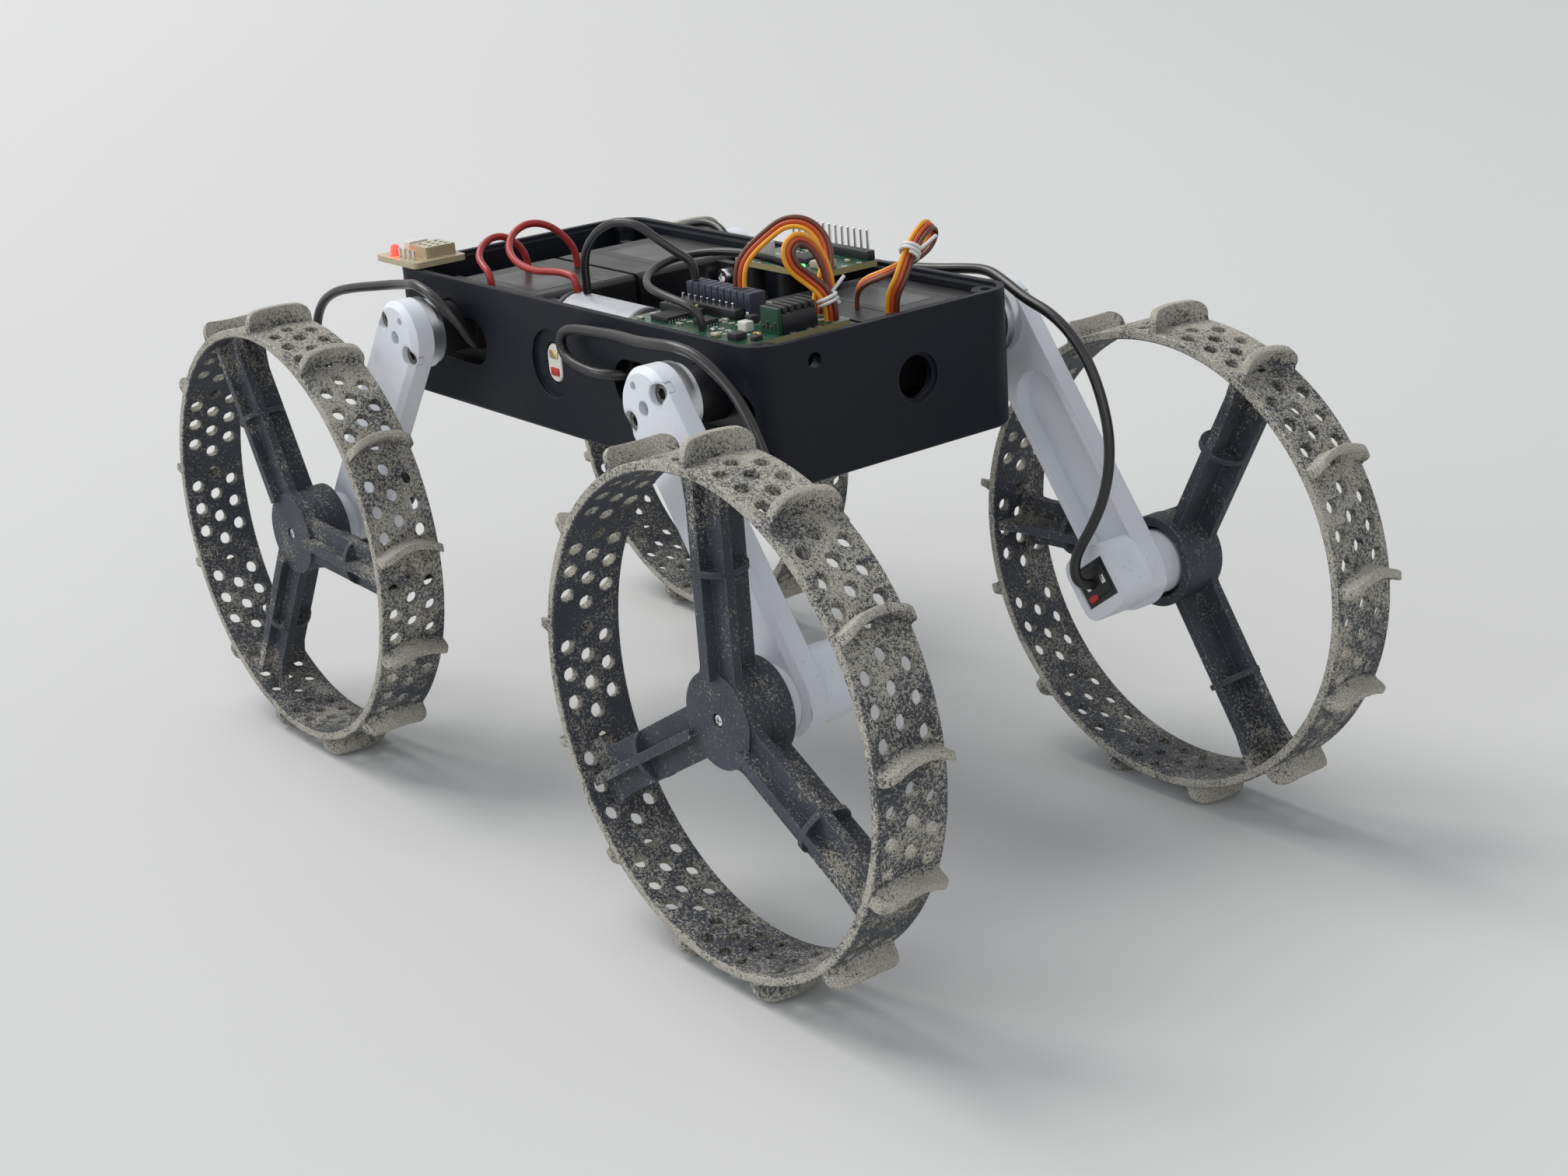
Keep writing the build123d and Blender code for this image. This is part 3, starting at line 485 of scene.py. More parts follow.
@dataclass(frozen=True)
class BrushedMetal(Finish):
    """Turned or brushed metal with fine streaks."""

    rough: float = 0.3
    streak: float = 0.25
    scale: float = 1800.0

    def shade(self, sheet: ShaderSheet) -> Node:
        """Write the material's nodes.

        Args:
            sheet: The sheet of its tree.

        Returns:
            Its shader.
        """
        place = sheet.object_place()
        fine = sheet.noise(place, self.scale, 2.0, 0.6)
        cloud = sheet.noise(place, self.scale * 0.05, 2.0, 0.6)
        gain = sheet.math("ADD", 1.0 - self.streak * 0.5, sheet.math(
            "MULTIPLY", fine, self.streak))
        colour = sheet.mix(1.0, self.colour, sheet.grey(gain), "MULTIPLY")
        rough = sheet.math("MULTIPLY_ADD", cloud, 0.25, self.rough - 0.1, clamp=True)
        return sheet.node("ShaderNodeBsdfPrincipled", {
            "Base Color": colour, "Metallic": 1.0, "Roughness": rough,
            "Normal": bump(sheet, fine, 0.35, 0.00002)})


@dataclass(frozen=True)
class DustyPlastic(Finish):
    """Grey printed plastic under ground dust, thick where the piece's dust attribute says."""

    dust: Colour
    pale: Colour
    worn: Colour = (0.20, 0.205, 0.215)
    rough: float = 0.62

    def shade(self, sheet: ShaderSheet) -> Node:
        """Write the material's nodes.

        Args:
            sheet: The sheet of its tree.

        Returns:
            Its shader.
        """
        grain = sheet.group(Effects.fine_grain(), {
            "Color": self.colour, "Scale": 1500.0, "Variation": 0.55, "Roughness": self.rough})
        stored = sheet.node("ShaderNodeAttribute", attribute_name="dust").outputs["Fac"]
        fleck = sheet.span(sheet.noise(sheet.object_place(), 2600.0, 3.0, 0.7), 0.38, 0.64)
        edges = sheet.group(Effects.edge_wear(), {"Radius": 0.0005, "Amount": 0.8})
        cover = sheet.group(Effects.dust_cover(), {
            "Color": sheet.mix(edges.outputs["Mask"], grain.outputs["Color"], self.worn),
            "Dust": sheet.mix(fleck, self.dust, self.pale),
            "Roughness": grain.outputs["Roughness"], "Amount": stored, "Scale": 520.0,
            "Upward": 0.35})
        height = sheet.math("MULTIPLY_ADD", grain.outputs["Height"], 0.5, cover.outputs["Height"])
        normal = bump(sheet, height, 0.8, 0.00026, edges.outputs["Normal"])
        return sheet.node("ShaderNodeBsdfPrincipled", {
            "Base Color": cover.outputs["Color"], "Roughness": cover.outputs["Roughness"],
            "Normal": normal, "Specular IOR Level": 0.35})


@dataclass(frozen=True)
class CircuitLaminate(Finish):
    """A circuit board: lacquered laminate over copper tracks, with rows of tinned pads."""

    edge: Colour = (0.42, 0.36, 0.18)
    pads: float = 0.00254

    def shade(self, sheet: ShaderSheet) -> Node:
        """Write the material's nodes.

        Args:
            sheet: The sheet of its tree.

        Returns:
            Its shader.
        """
        place = sheet.object_place()
        parts = sheet.node("ShaderNodeSeparateXYZ", {"Vector": place}).outputs
        normal = sheet.node("ShaderNodeNewGeometry").outputs["Normal"]
        upright = sheet.math("ABSOLUTE", sheet.node(
            "ShaderNodeSeparateXYZ", {"Vector": normal}).outputs["Z"])
        flat = sheet.math("GREATER_THAN", upright, 0.7)
        bend = sheet.noise(place, 70.0, 1.0, 0.4)
        lane = sheet.math("ADD", sheet.math("MULTIPLY", parts["Y"], 620.0),
                          sheet.math("MULTIPLY", sheet.math("ROUND", sheet.math(
                              "MULTIPLY", bend, 5.0)), 0.5))
        track = sheet.math("GREATER_THAN", sheet.math("FRACT", lane), 0.55)
        zone = sheet.math("GREATER_THAN", sheet.noise(place, 120.0, 1.0, 0.5), 0.52)
        copper = sheet.math("MULTIPLY", sheet.math("MULTIPLY", track, zone), flat)
        across = sheet.math("SUBTRACT", sheet.math("FRACT", sheet.math(
            "DIVIDE", parts["X"], self.pads)), 0.5)
        along = sheet.math("SUBTRACT", sheet.math("FRACT", sheet.math(
            "DIVIDE", parts["Y"], self.pads)), 0.5)
        reach = sheet.math("SQRT", sheet.math("ADD", sheet.math("MULTIPLY", across, across),
                                              sheet.math("MULTIPLY", along, along)))
        row = sheet.math("GREATER_THAN", sheet.noise(sheet.node("ShaderNodeCombineXYZ", {
            "X": sheet.math("FLOOR", sheet.math("DIVIDE", parts["X"], self.pads * 4)),
            "Y": sheet.math("FLOOR", sheet.math("DIVIDE", parts["Y"], self.pads)),
        }).outputs[0], 3.7, 0.0), 0.55)
        pad = sheet.math("MULTIPLY", sheet.math("MULTIPLY", sheet.math(
            "LESS_THAN", reach, 0.30), row), flat)
        # Painted shade: each pad's hole is a near-black spot, not a cut hole
        hole = sheet.math("MULTIPLY", sheet.math("LESS_THAN", reach, 0.13), pad)
        lacquer = sheet.mix(sheet.math("MULTIPLY", copper, 0.55), self.colour, tuple(
            min(1.0, part * 2.1 + 0.01) for part in self.colour))
        cloud = sheet.noise(place, 260.0, 3.0, 0.6)
        lacquer = sheet.mix(sheet.span(cloud, 0.5, 0.75, 0.0, 0.25), lacquer, (0.25, 0.25, 0.22))
        tinned = sheet.mix(pad, lacquer, (0.62, 0.60, 0.55))
        holed = sheet.mix(hole, tinned, (0.02, 0.02, 0.02))
        colour = sheet.mix(flat, self.edge, holed)
        height = sheet.math("ADD", sheet.math("MULTIPLY", copper, 0.5), pad)
        rough = sheet.math("MULTIPLY_ADD", cloud, 0.2, 0.2)
        return sheet.node("ShaderNodeBsdfPrincipled", {
            "Base Color": colour, "Roughness": rough, "Coat Weight": 0.25,
            "Coat Roughness": 0.2, "Normal": bump(sheet, height, 0.6, 0.00005)})


@dataclass(frozen=True)
class WireSkin(Finish):
    """Soft insulation of leads, a little shiny, with handling marks along it."""

    rough: float = 0.38
    coat: float = 0.15

    def shade(self, sheet: ShaderSheet) -> Node:
        """Write the material's nodes.

        Args:
            sheet: The sheet of its tree.

        Returns:
            Its shader.
        """
        grain = sheet.group(Effects.fine_grain(), {
            "Color": self.colour, "Scale": 1300.0, "Variation": 0.16, "Roughness": self.rough})
        return sheet.node("ShaderNodeBsdfPrincipled", {
            "Base Color": grain.outputs["Color"], "Roughness": grain.outputs["Roughness"],
            "Coat Weight": self.coat, "Coat Roughness": 0.25,
            "Normal": bump(sheet, grain.outputs["Height"], 0.4, 0.00004)})


@dataclass(frozen=True)
class MouldedPlastic(Finish):
    """Injection-moulded plastic with a fine texture and softly rounded edges."""

    rough: float = 0.4
    grain_depth: float = 0.00003
    corner: float = 0.0003

    def shade(self, sheet: ShaderSheet) -> Node:
        """Write the material's nodes.

        Args:
            sheet: The sheet of its tree.

        Returns:
            Its shader.
        """
        grain = sheet.group(Effects.fine_grain(), {
            "Color": self.colour, "Scale": 2200.0, "Variation": 0.14, "Roughness": self.rough})
        corner = sheet.node("ShaderNodeBevel", {"Radius": self.corner}, samples=4)
        normal = bump(sheet, grain.outputs["Height"], 0.5, self.grain_depth,
                      corner.outputs["Normal"])
        return sheet.node("ShaderNodeBsdfPrincipled", {
            "Base Color": grain.outputs["Color"], "Roughness": grain.outputs["Roughness"],
            "Normal": normal})


@dataclass(frozen=True)
class Lamp(Finish):
    """A small lit indicator: clear resin over a glowing die."""

    glow: float = 2.0

    def shade(self, sheet: ShaderSheet) -> Node:
        """Write the material's nodes.

        Args:
            sheet: The sheet of its tree.

        Returns:
            Its shader.
        """
        cloud = sheet.noise(sheet.object_place(), 1400.0, 2.0, 0.6)
        deep = tuple(part * 0.35 for part in self.colour)
        colour = sheet.mix(cloud, deep, self.colour)
        return sheet.node("ShaderNodeBsdfPrincipled", {
            "Base Color": colour, "Roughness": 0.15, "Emission Color": colour,
            "Emission Strength": self.glow, "Coat Weight": 0.6})


TRAY_PLASTIC = PrintedPlastic("Tray plastic", (0.0036, 0.0050, 0.0105), rough=0.48,
                              variation=0.3, dust_amount=-0.5, upward=0.25, specular=0.26,
                              wear=0.55, worn=(0.055, 0.058, 0.066), dust=(0.20, 0.20, 0.21))
LEG_PLASTIC = PrintedPlastic("Leg plastic", (0.79, 0.81, 0.85), dust=(0.40, 0.39, 0.38),
                             rough=0.40, variation=0.035, direction=(0.0, 1.0, 0.0),
                             dust_amount=-0.10, upward=0.1, wear=0.15, worn=(0.88, 0.88, 0.88))
WHEEL_PLASTIC = DustyPlastic("Wheel plastic", (0.044, 0.050, 0.062), dust=(0.34, 0.315, 0.27),
                             pale=(0.60, 0.57, 0.50))
SERVO_CASE = MouldedPlastic("Servo case", (0.012, 0.012, 0.014), rough=0.36)
CONNECTOR_BLACK = MouldedPlastic("Connector black", (0.016, 0.016, 0.018), rough=0.42)
CONNECTOR_WHITE = MouldedPlastic("Connector white", (0.72, 0.70, 0.64), rough=0.45)
CHIP_BLACK = MouldedPlastic("Chip black", (0.022, 0.022, 0.024), rough=0.55, corner=0.0001)
TIE_WHITE = MouldedPlastic("Tie white", (0.78, 0.78, 0.76), rough=0.4, corner=0.0002)
RED_PLASTIC = MouldedPlastic("Red plastic", (0.50, 0.02, 0.02), rough=0.35)
CELL_SLEEVE = MouldedPlastic("Cell sleeve", (0.52, 0.53, 0.55), rough=0.3, corner=0.0006)
BEIGE_BLOCK = MouldedPlastic("Beige block", (0.50, 0.43, 0.30), rough=0.6)
HOUSING_SLATE = MouldedPlastic("Housing slate", (0.030, 0.038, 0.060), rough=0.45)
MODULE_GREEN = MouldedPlastic("Module green", (0.010, 0.060, 0.034), rough=0.45)
LABEL_GREY = MouldedPlastic("Blank label", (0.040, 0.041, 0.045), rough=0.3)
LABEL_RED = MouldedPlastic("Red label patch", (0.30, 0.020, 0.022), rough=0.4)
BOARD_GREEN = CircuitLaminate("Board green", (0.006, 0.058, 0.028))
BOARD_BEIGE = CircuitLaminate("Board beige", (0.42, 0.34, 0.20), edge=(0.50, 0.42, 0.26))
HORN_METAL = BrushedMetal("Horn metal", (0.62, 0.63, 0.66), rough=0.32)
SCREW_STEEL = BrushedMetal("Screw steel", (0.17, 0.165, 0.16), rough=0.38)
BRIGHT_STEEL = BrushedMetal("Bright steel", (0.78, 0.78, 0.80), rough=0.22)
PIN_BRASS = BrushedMetal("Pin brass", (0.80, 0.62, 0.30), rough=0.25)
WIRE_YELLOW = WireSkin("Wire yellow", (0.86, 0.36, 0.014))
WIRE_ORANGE = WireSkin("Wire orange", (0.52, 0.070, 0.012))
WIRE_BROWN = WireSkin("Wire brown", (0.130, 0.032, 0.016))
WIRE_RED = WireSkin("Wire red", (0.36, 0.016, 0.012))
WIRE_BLACK = WireSkin("Wire black", (0.012, 0.012, 0.013), rough=0.32)
RED_LAMP = Lamp("Red lamp", (1.0, 0.045, 0.03), glow=3.2)
GREEN_LAMP = Lamp("Green lamp", (0.10, 1.0, 0.16), glow=4.0)


# The studio


@dataclass
class Studio:
    """The pale floor, the soft lamps and the camera at the photograph's viewing angle."""

    eye: Point = (0.492816, -0.352863, 0.263327)
    aim: Point = (0.0600, -0.0240, 0.0710)
    head: Point = (-0.41785899, 0.40383264, 0.81382619)
    lens: float = 54.0
    lamp_aim: Point = (0.02, 0.0, 0.07)
    floor_size: float = 30.0
    floor_colour: Colour = (0.66, 0.655, 0.64)
    far_from: float = 1.2
    far_to: float = 7.0
    far_glow: float = 0.40
    sky_light: Colour = (0.88, 0.93, 1.0)
    sky_strength: float = 0.42
    backdrop: Colour = (0.80, 0.80, 0.80)
    backdrop_strength: float = 0.85

    def build(self) -> None:
        """Make the floor, the lamps, the sky and the camera."""
        self.floor()
        self.lamps()
        self.sky()
        self.camera()

    def floor(self) -> None:
        """Lay a plain pale floor under the wheels."""
        half = self.floor_size / 2
        mesh = bpy.data.meshes.new("studio_floor")
        corners = [(-half, -half, 0), (half, -half, 0), (half, half, 0), (-half, half, 0)]
        mesh.from_pydata(corners, [], [(0, 1, 2, 3)])
        plane = bpy.data.objects.new("studio_floor", mesh)
        bpy.context.scene.collection.objects.link(plane)
        made = bpy.data.materials.new("Studio floor")
        made.use_nodes = True
        shader = made.node_tree.nodes["Principled BSDF"]
        shader.inputs["Base Color"].default_value = (*self.floor_colour, 1)
        shader.inputs["Roughness"].default_value = 0.9
        shader.inputs["Specular IOR Level"].default_value = 0.2
        # Far from the lamps the floor is shown as pale as it is near them
        sheet = ShaderSheet(made.node_tree)
        away = sheet.node("ShaderNodeVectorMath", {0: sheet.object_place()},
                          operation="LENGTH").outputs["Value"]
        glow = sheet.math("MULTIPLY", sheet.span(
            away, self.far_from, self.far_to, 0.0, self.far_glow), self.seen(sheet))
        sheet.feed(shader.inputs["Emission Color"], (0.98, 0.99, 1.0))
        sheet.feed(shader.inputs["Emission Strength"], glow)
        mesh.materials.append(made)

    def lamp(self, name: str, place: Point, size: float, power: float, tint: Colour) -> None:
        """Hang one square soft lamp that points at the rover.

        Args:
            name: The lamp's name.
            place: Where it hangs.
            size: Its side.
            power: Its power in watts.
            tint: Its colour.
        """
        light = bpy.data.lights.new(name, "AREA")
        light.size = size
        light.energy = power
        light.color = tint
        lamp = bpy.data.objects.new(name, light)
        lamp.location = place
        aim = Vector(self.lamp_aim) - Vector(place)
        lamp.rotation_euler = aim.to_track_quat("-Z", "Y").to_euler()
        bpy.context.scene.collection.objects.link(lamp)

    def lamps(self) -> None:
        """Hang the soft lamps."""
        self.lamp("key_lamp", (-2.6, -0.9, 4.4), 3.4, 190.0, (1.0, 0.99, 0.97))
        self.lamp("front_lamp", (4.2, -2.2, 2.8), 3.2, 36.0, (0.97, 0.98, 1.0))
        self.lamp("side_lamp", (-1.6, -4.6, 2.0), 3.2, 62.0, (0.90, 0.94, 1.0))

    def sky(self) -> None:
        """Fill the world with an even pale light, and show it paler than it shines."""
        world = bpy.data.worlds.new("Studio sky")
        world.use_nodes = True
        sheet = ShaderSheet(world.node_tree)
        light = world.node_tree.nodes["Background"]
        sheet.feed(light.inputs["Color"], self.sky_light)
        sheet.feed(light.inputs["Strength"], self.sky_strength)
        shown = sheet.node("ShaderNodeBackground", {
            "Color": self.backdrop, "Strength": self.backdrop_strength})
        mixed = sheet.node("ShaderNodeMixShader", {
            0: self.seen(sheet), 1: light.outputs[0], 2: shown.outputs[0]})
        sheet.feed(world.node_tree.nodes["World Output"].inputs["Surface"], mixed.outputs[0])
        bpy.context.scene.world = world

    @staticmethod
    def seen(sheet: ShaderSheet) -> Socket:
        """Tell rays that show the surroundings, straight on, in metal or through glass.

        Args:
            sheet: The sheet to write on.

        Returns:
            1 for those rays and 0 for the others.
        """
        ways = sheet.node("ShaderNodeLightPath").outputs
        either = sheet.math("ADD", ways["Is Camera Ray"], ways["Is Glossy Ray"])
        return sheet.math("ADD", either, ways["Is Transmission Ray"], clamp=True)

    def camera(self) -> None:
        """Stand the camera where the photograph was taken, turned to the rover."""
        data = bpy.data.cameras.new("view_camera")
        data.lens = self.lens
        data.sensor_width = 36.0
        data.clip_start = 0.01
        camera = bpy.data.objects.new("view_camera", data)
        back = (Vector(self.eye) - Vector(self.aim)).normalized()
        right = Vector(self.head).cross(back).normalized()
        up = back.cross(right)
        turn = Matrix((right, up, back)).transposed().to_4x4()
        camera.matrix_world = Matrix.Translation(self.eye) @ turn
        bpy.context.scene.collection.objects.link(camera)
        bpy.context.scene.camera = camera


# The rover's plan


@dataclass(frozen=True)
class RoverPlan:
    """The places that the pieces share, in millimetres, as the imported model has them."""

    pivot_x: float = 57.4
    pivot_y: float = 50.0
    pivot_z: float = 123.743
    hub_x: float = 100.955
    hub_z: float = 63.795
    wheel_out: float = 81.2
    rest_angle: float = 36.0
    tray_side: float = 41.0
    board_top: float = 135.643
    servo_top: float = 133.743
    controller_top: float = 138.843

    def pivot(self, corner: Corner) -> Vector:
        """The pivot of a corner's leg, in metres."""
        return Vector((corner.end * self.pivot_x, corner.side * self.pivot_y,
                       self.pivot_z)) * MM

    def hub_place(self, corner: Corner) -> Matrix:
        """Say where a wheel drawn about Z, with its outer face at 0, comes to stand.

        Args:
            corner: The wheel's corner.

        Returns:
            The matrix for it, in metres.
        """
        turn = Matrix.Rotation(math.radians(90), 4, "X")
        place = Matrix.Translation(Vector((
            corner.end * self.hub_x, -self.wheel_out, self.hub_z)) * MM)
        return self.sided(corner) @ place @ turn

    @staticmethod
    def sided(corner: Corner) -> Matrix:
        """A mirror in the middle plane for the left side, and nothing for the right."""
        return Matrix.Diagonal((1.0, -float(corner.side), 1.0, 1.0))

    def on_leg(self, corner: Corner, outward: float, out: float, down: float) -> Point:
        """A point that is measured on the hanging leg, in metres at rest.

        Args:
            corner: The leg's corner.
            outward: Away from the middle of the rover, in millimetres.
            out: Out from the side of the tray.
            down: Down from the pivot.

        Returns:
            The point in the frame of the rover.
        """
        angle = math.radians(self.rest_angle)
        along = outward * math.cos(angle) + down * math.sin(angle)
        up = outward * math.sin(angle) - down * math.cos(angle)
        return (corner.end * (self.pivot_x + along) * MM,
                corner.side * (self.tray_side + out) * MM, (self.pivot_z + up) * MM)


PLAN = RoverPlan()


# Mesh making


def round_steps(count: int) -> List[float]:
    """The angles of even steps round a circle, in radians."""
    return [2 * math.pi * step / count for step in range(count)]


def slot_outline(radius: float, low: float, high: float,
                 steps: int) -> List[Tuple[float, float]]:
    """The outline of a slot that stands upright.

    Args:
        radius: The radius of its round ends, in millimetres.
        low: The height of the lower end's middle.
        high: The height of the upper end's middle.
        steps: How many steps each end has.

    Returns:
        The corners, counter-clockwise.
    """
    outline = []
    for start, middle in ((0.0, high), (math.pi, low)):
        for step in range(steps + 1):
            angle = start + math.pi * step / steps
            outline.append((radius * math.cos(angle), middle + radius * math.sin(angle)))
    return outline


class Carver:
    """A mesh in the making, with calls for the shapes that the pieces are built of."""

    def __init__(self) -> None:
        """Start with an empty mesh."""
        self.work = bmesh.new()
        self.finishes: List[Finish] = []
        self.dust = self.work.verts.layers.float.new("dust")

    def index_of(self, finish: Finish) -> int:
        """Give a finish its material index, adding it at its first use.

        Args:
            finish: The finish.

        Returns:
            The index.
        """
        if finish not in self.finishes:
            self.finishes.append(finish)
        return self.finishes.index(finish)

    def block(self, low: Point, high: Point, finish: Finish, edge: float = 0.25,
              steps: int = 2, turn: Optional[Matrix] = None) -> None:
        """Add a block with rounded edges.

        Args:
            low: Its lowest corner, in millimetres.
            high: Its highest corner.
            finish: Its finish.
            edge: The radius of its edges.
            steps: How many faces each rounded edge has.
            turn: A matrix that the block is turned by afterwards.
        """
        made = bmesh.ops.create_cube(self.work, size=1.0)["verts"]
        size = Vector(high) - Vector(low)
        middle = (Vector(high) + Vector(low)) / 2
        for vert in made:
            vert.co = Vector((vert.co.x * size.x, vert.co.y * size.y, vert.co.z * size.z)) + middle
        if edge > 0:
            edges = list({link for vert in made for link in vert.link_edges})
            made = bmesh.ops.bevel(self.work, geom=edges, offset=edge, segments=steps,
                                   profile=0.5, affect="EDGES", clamp_overlap=True)["verts"]
        self.finish_faces({face for vert in made for face in vert.link_faces}, finish, turn)

    def seat(self, x: float, y: float, low: float, size: Point, finish: Finish,
             edge: float = 0.25, steps: int = 2) -> None:
        """Stand a block on a height, over a place.

        Args:
            x: Where its middle is along the rover, in millimetres.
            y: Where its middle is across the rover.
            low: The height that it stands on.
            size: Its width along X, depth along Y and height.
            finish: Its finish.
            edge: The radius of its edges.
            steps: How many faces each rounded edge has.
        """
        wide, deep, high = size
        self.block((x - wide / 2, y - deep / 2, low), (x + wide / 2, y + deep / 2, low + high),
                   finish, edge, steps)

    def join_rows(self, rows: Sequence[Sequence[Vert]],
                  capped: bool = True) -> List[Face]:
        """Join rings of corners one after the other.

        Args:
            rows: The rings, all with as many corners.
            capped: Whether the first and the last ring are filled.

        Returns:
            The new faces.
        """
        faces = []
        for low, high in zip(rows, rows[1:]):
            for step in range(len(low)):
                after = (step + 1) % len(low)
                faces.append(self.work.faces.new((low[step], low[after], high[after], high[step])))
        if capped:
            faces.append(self.work.faces.new(tuple(reversed(rows[0]))))
            faces.append(self.work.faces.new(tuple(rows[-1])))
        return faces

    def lathe(self, rings: Sequence[Tuple[float, float]], finish: Finish, sides: int,
              turn: Matrix) -> None:
        """Turn a profile about Z and cap its ends.

        Args:
            rings: Height and radius of each ring, in millimetres.
            finish: The finish.
            sides: How many sides the turned shape has.
            turn: Where the shape goes.
        """
        rows = [[self.work.verts.new((radius * math.cos(angle), radius * math.sin(angle), height))
                 for angle in round_steps(sides)] for height, radius in rings]
        self.finish_faces(self.join_rows(rows), finish, turn)

    def prism(self, outline: Sequence[Tuple[float, float]], low: float, high: float,
              finish: Finish, turn: Optional[Matrix] = None, edge: float = 0.2) -> None:
        """Raise a flat outline into a block with small chamfers at top and bottom.

        Args:
            outline: The corners, counter-clockwise seen from above, in millimetres.
            low: The lower height.
            high: The upper height.
            finish: The finish.
            turn: Where the shape goes.
            edge: The size of the chamfers.
        """
        middle = Vector((sum(p[0] for p in outline), sum(p[1] for p in outline))) / len(outline)
        rows = []
        for height, inset in ((low, edge), (low + edge, 0.0), (high - edge, 0.0), (high, edge)):
            row = []
            for spot in outline:
                away = Vector(spot) - middle
                at = middle + away * max(0.0, 1.0 - inset / max(away.length, 1e-6))
                row.append(self.work.verts.new((at.x, at.y, height)))
            rows.append(row)
        self.finish_faces(self.join_rows(rows), finish, turn)

    def strand(self, path: Sequence[Vector], radius: float, finish: Finish, sides: int = 12,
               side_step: float = 0.0) -> None:
        """Sweep a round wire along a path, a step to one side of it.

        Args:
            path: The points that it follows, in metres.
            radius: Its radius in millimetres.
            finish: Its finish.
            sides: How many sides its section has.
            side_step: How far it lies beside the path, in millimetres.
        """
        rows = []
        across = Vector()
        for index, spot in enumerate(path):
            before = path[max(index - 1, 0)]
            after = path[min(index + 1, len(path) - 1)]
            ahead = (after - before).normalized()
            if index == 0:
                across = ahead.orthogonal().normalized()
                flat = Vector((ahead.y, -ahead.x, 0.0))
                if flat.length > 0.2:
                    across = flat.normalized()
            across = (across - ahead * across.dot(ahead)).normalized()
            up = ahead.cross(across)
            centre = spot + across * side_step * MM
            row = []
            for angle in round_steps(sides):
                reach = (across * math.cos(angle) + up * math.sin(angle)) * radius * MM
                row.append(self.work.verts.new((centre + reach) / MM))
            rows.append(row)
        self.finish_faces(self.join_rows(rows), finish, None)

    def socket_screw(self, radius: float, height: float, socket: float, depth: float,
                     finish: Finish, turn: Matrix) -> None:
        """Add a cap screw's head with its six-sided socket, standing on Z = 0.

        Args:
            radius: The head's radius, in millimetres.
            height: The head's height.
            socket: Half the width across the socket's flats.
            depth: The socket's depth.
            finish: The finish.
            turn: Where the head goes.
        """
        # Height, reach and whether the ring is six-sided
        rings = ((0.0, radius - 0.15, False), (0.15, radius, False),
                 (height - 0.3, radius, False), (height - 0.08, radius - 0.1, False),
                 (height, radius - 0.32, False), (height, socket + 0.22, True),
                 (height - 0.2, socket, True), (height - depth, socket * 0.96, True))
        rows = []
        for level, reach, six in rings:
            row = []
            for angle in round_steps(36):
                away = reach
                if six:
                    away /= math.cos(math.fmod(angle, math.pi / 3) - math.pi / 6)
                row.append(self.work.verts.new((
                    away * math.cos(angle), away * math.sin(angle), level)))
            rows.append(row)
        self.finish_faces(self.join_rows(rows), finish, turn)

    def finish_faces(self, faces: Iterable[Face], finish: Finish,
                     turn: Optional[Matrix]) -> None:
        """Give faces their finish and move them.

        Args:
            faces: The faces.
            finish: Their finish.
            turn: A matrix for their corners, or nothing.
        """
        faces = list(faces)
        slot = self.index_of(finish)
        for face in faces:
            face.material_index = slot
            face.smooth = True
        if turn is not None:
            verts = {vert for face in faces for vert in face.verts}
            bmesh.ops.transform(self.work, matrix=turn, verts=list(verts))
            if turn.determinant() < 0:
                bmesh.ops.reverse_faces(self.work, faces=faces)

    def adopt(self, source: bpy.types.Mesh, finish: Finish,
              keep: Callable[[Sequence[Vector]], bool]) -> None:
        """Take over the faces of a mesh in metres that a test keeps.

        Args:
            source: The mesh.
            finish: The finish that they get.
            keep: Says from a face's corners, in millimetres, whether it stays.
        """
        taken = bmesh.new()
        taken.from_mesh(source)
        bmesh.ops.remove_doubles(taken, verts=taken.verts, dist=1e-6)
        fresh: Dict[int, Vert] = {}
        faces = []
        for face in taken.faces:
            spots = [vert.co / MM for vert in face.verts]
            if not keep(spots):
                continue
            corners = []
            for vert, spot in zip(face.verts, spots):
                if vert.index not in fresh:
                    fresh[vert.index] = self.work.verts.new(spot)
                corners.append(fresh[vert.index])
            faces.append(self.work.faces.new(corners))
        taken.free()
        self.finish_faces(faces, finish, None)

    def to_object(self, name: str, sharp: float = 35.0) -> Piece:
        """Turn the work into an object in metres.

        Args:
            name: The object's name.
            sharp: The angle in degrees over which an edge stays sharp.

        Returns:
            The object, linked to the scene.
        """
        bmesh.ops.scale(self.work, vec=(MM, MM, MM), verts=self.work.verts)
        mesh = bpy.data.meshes.new(name)
        self.work.to_mesh(mesh)
        self.work.free()
        for finish in self.finishes:
            mesh.materials.append(finish.material())
        mesh.set_sharp_from_angle(angle=math.radians(sharp))
        made = bpy.data.objects.new(name, mesh)
        bpy.context.scene.collection.objects.link(made)
        return made


def report(piece: Piece, words: str) -> None:
    """Log one finished piece.

    Args:
        piece: The piece.
        words: What it is.
    """
    LOG.info("%s: %s, %d faces", piece.name, words, len(piece.data.polygons))


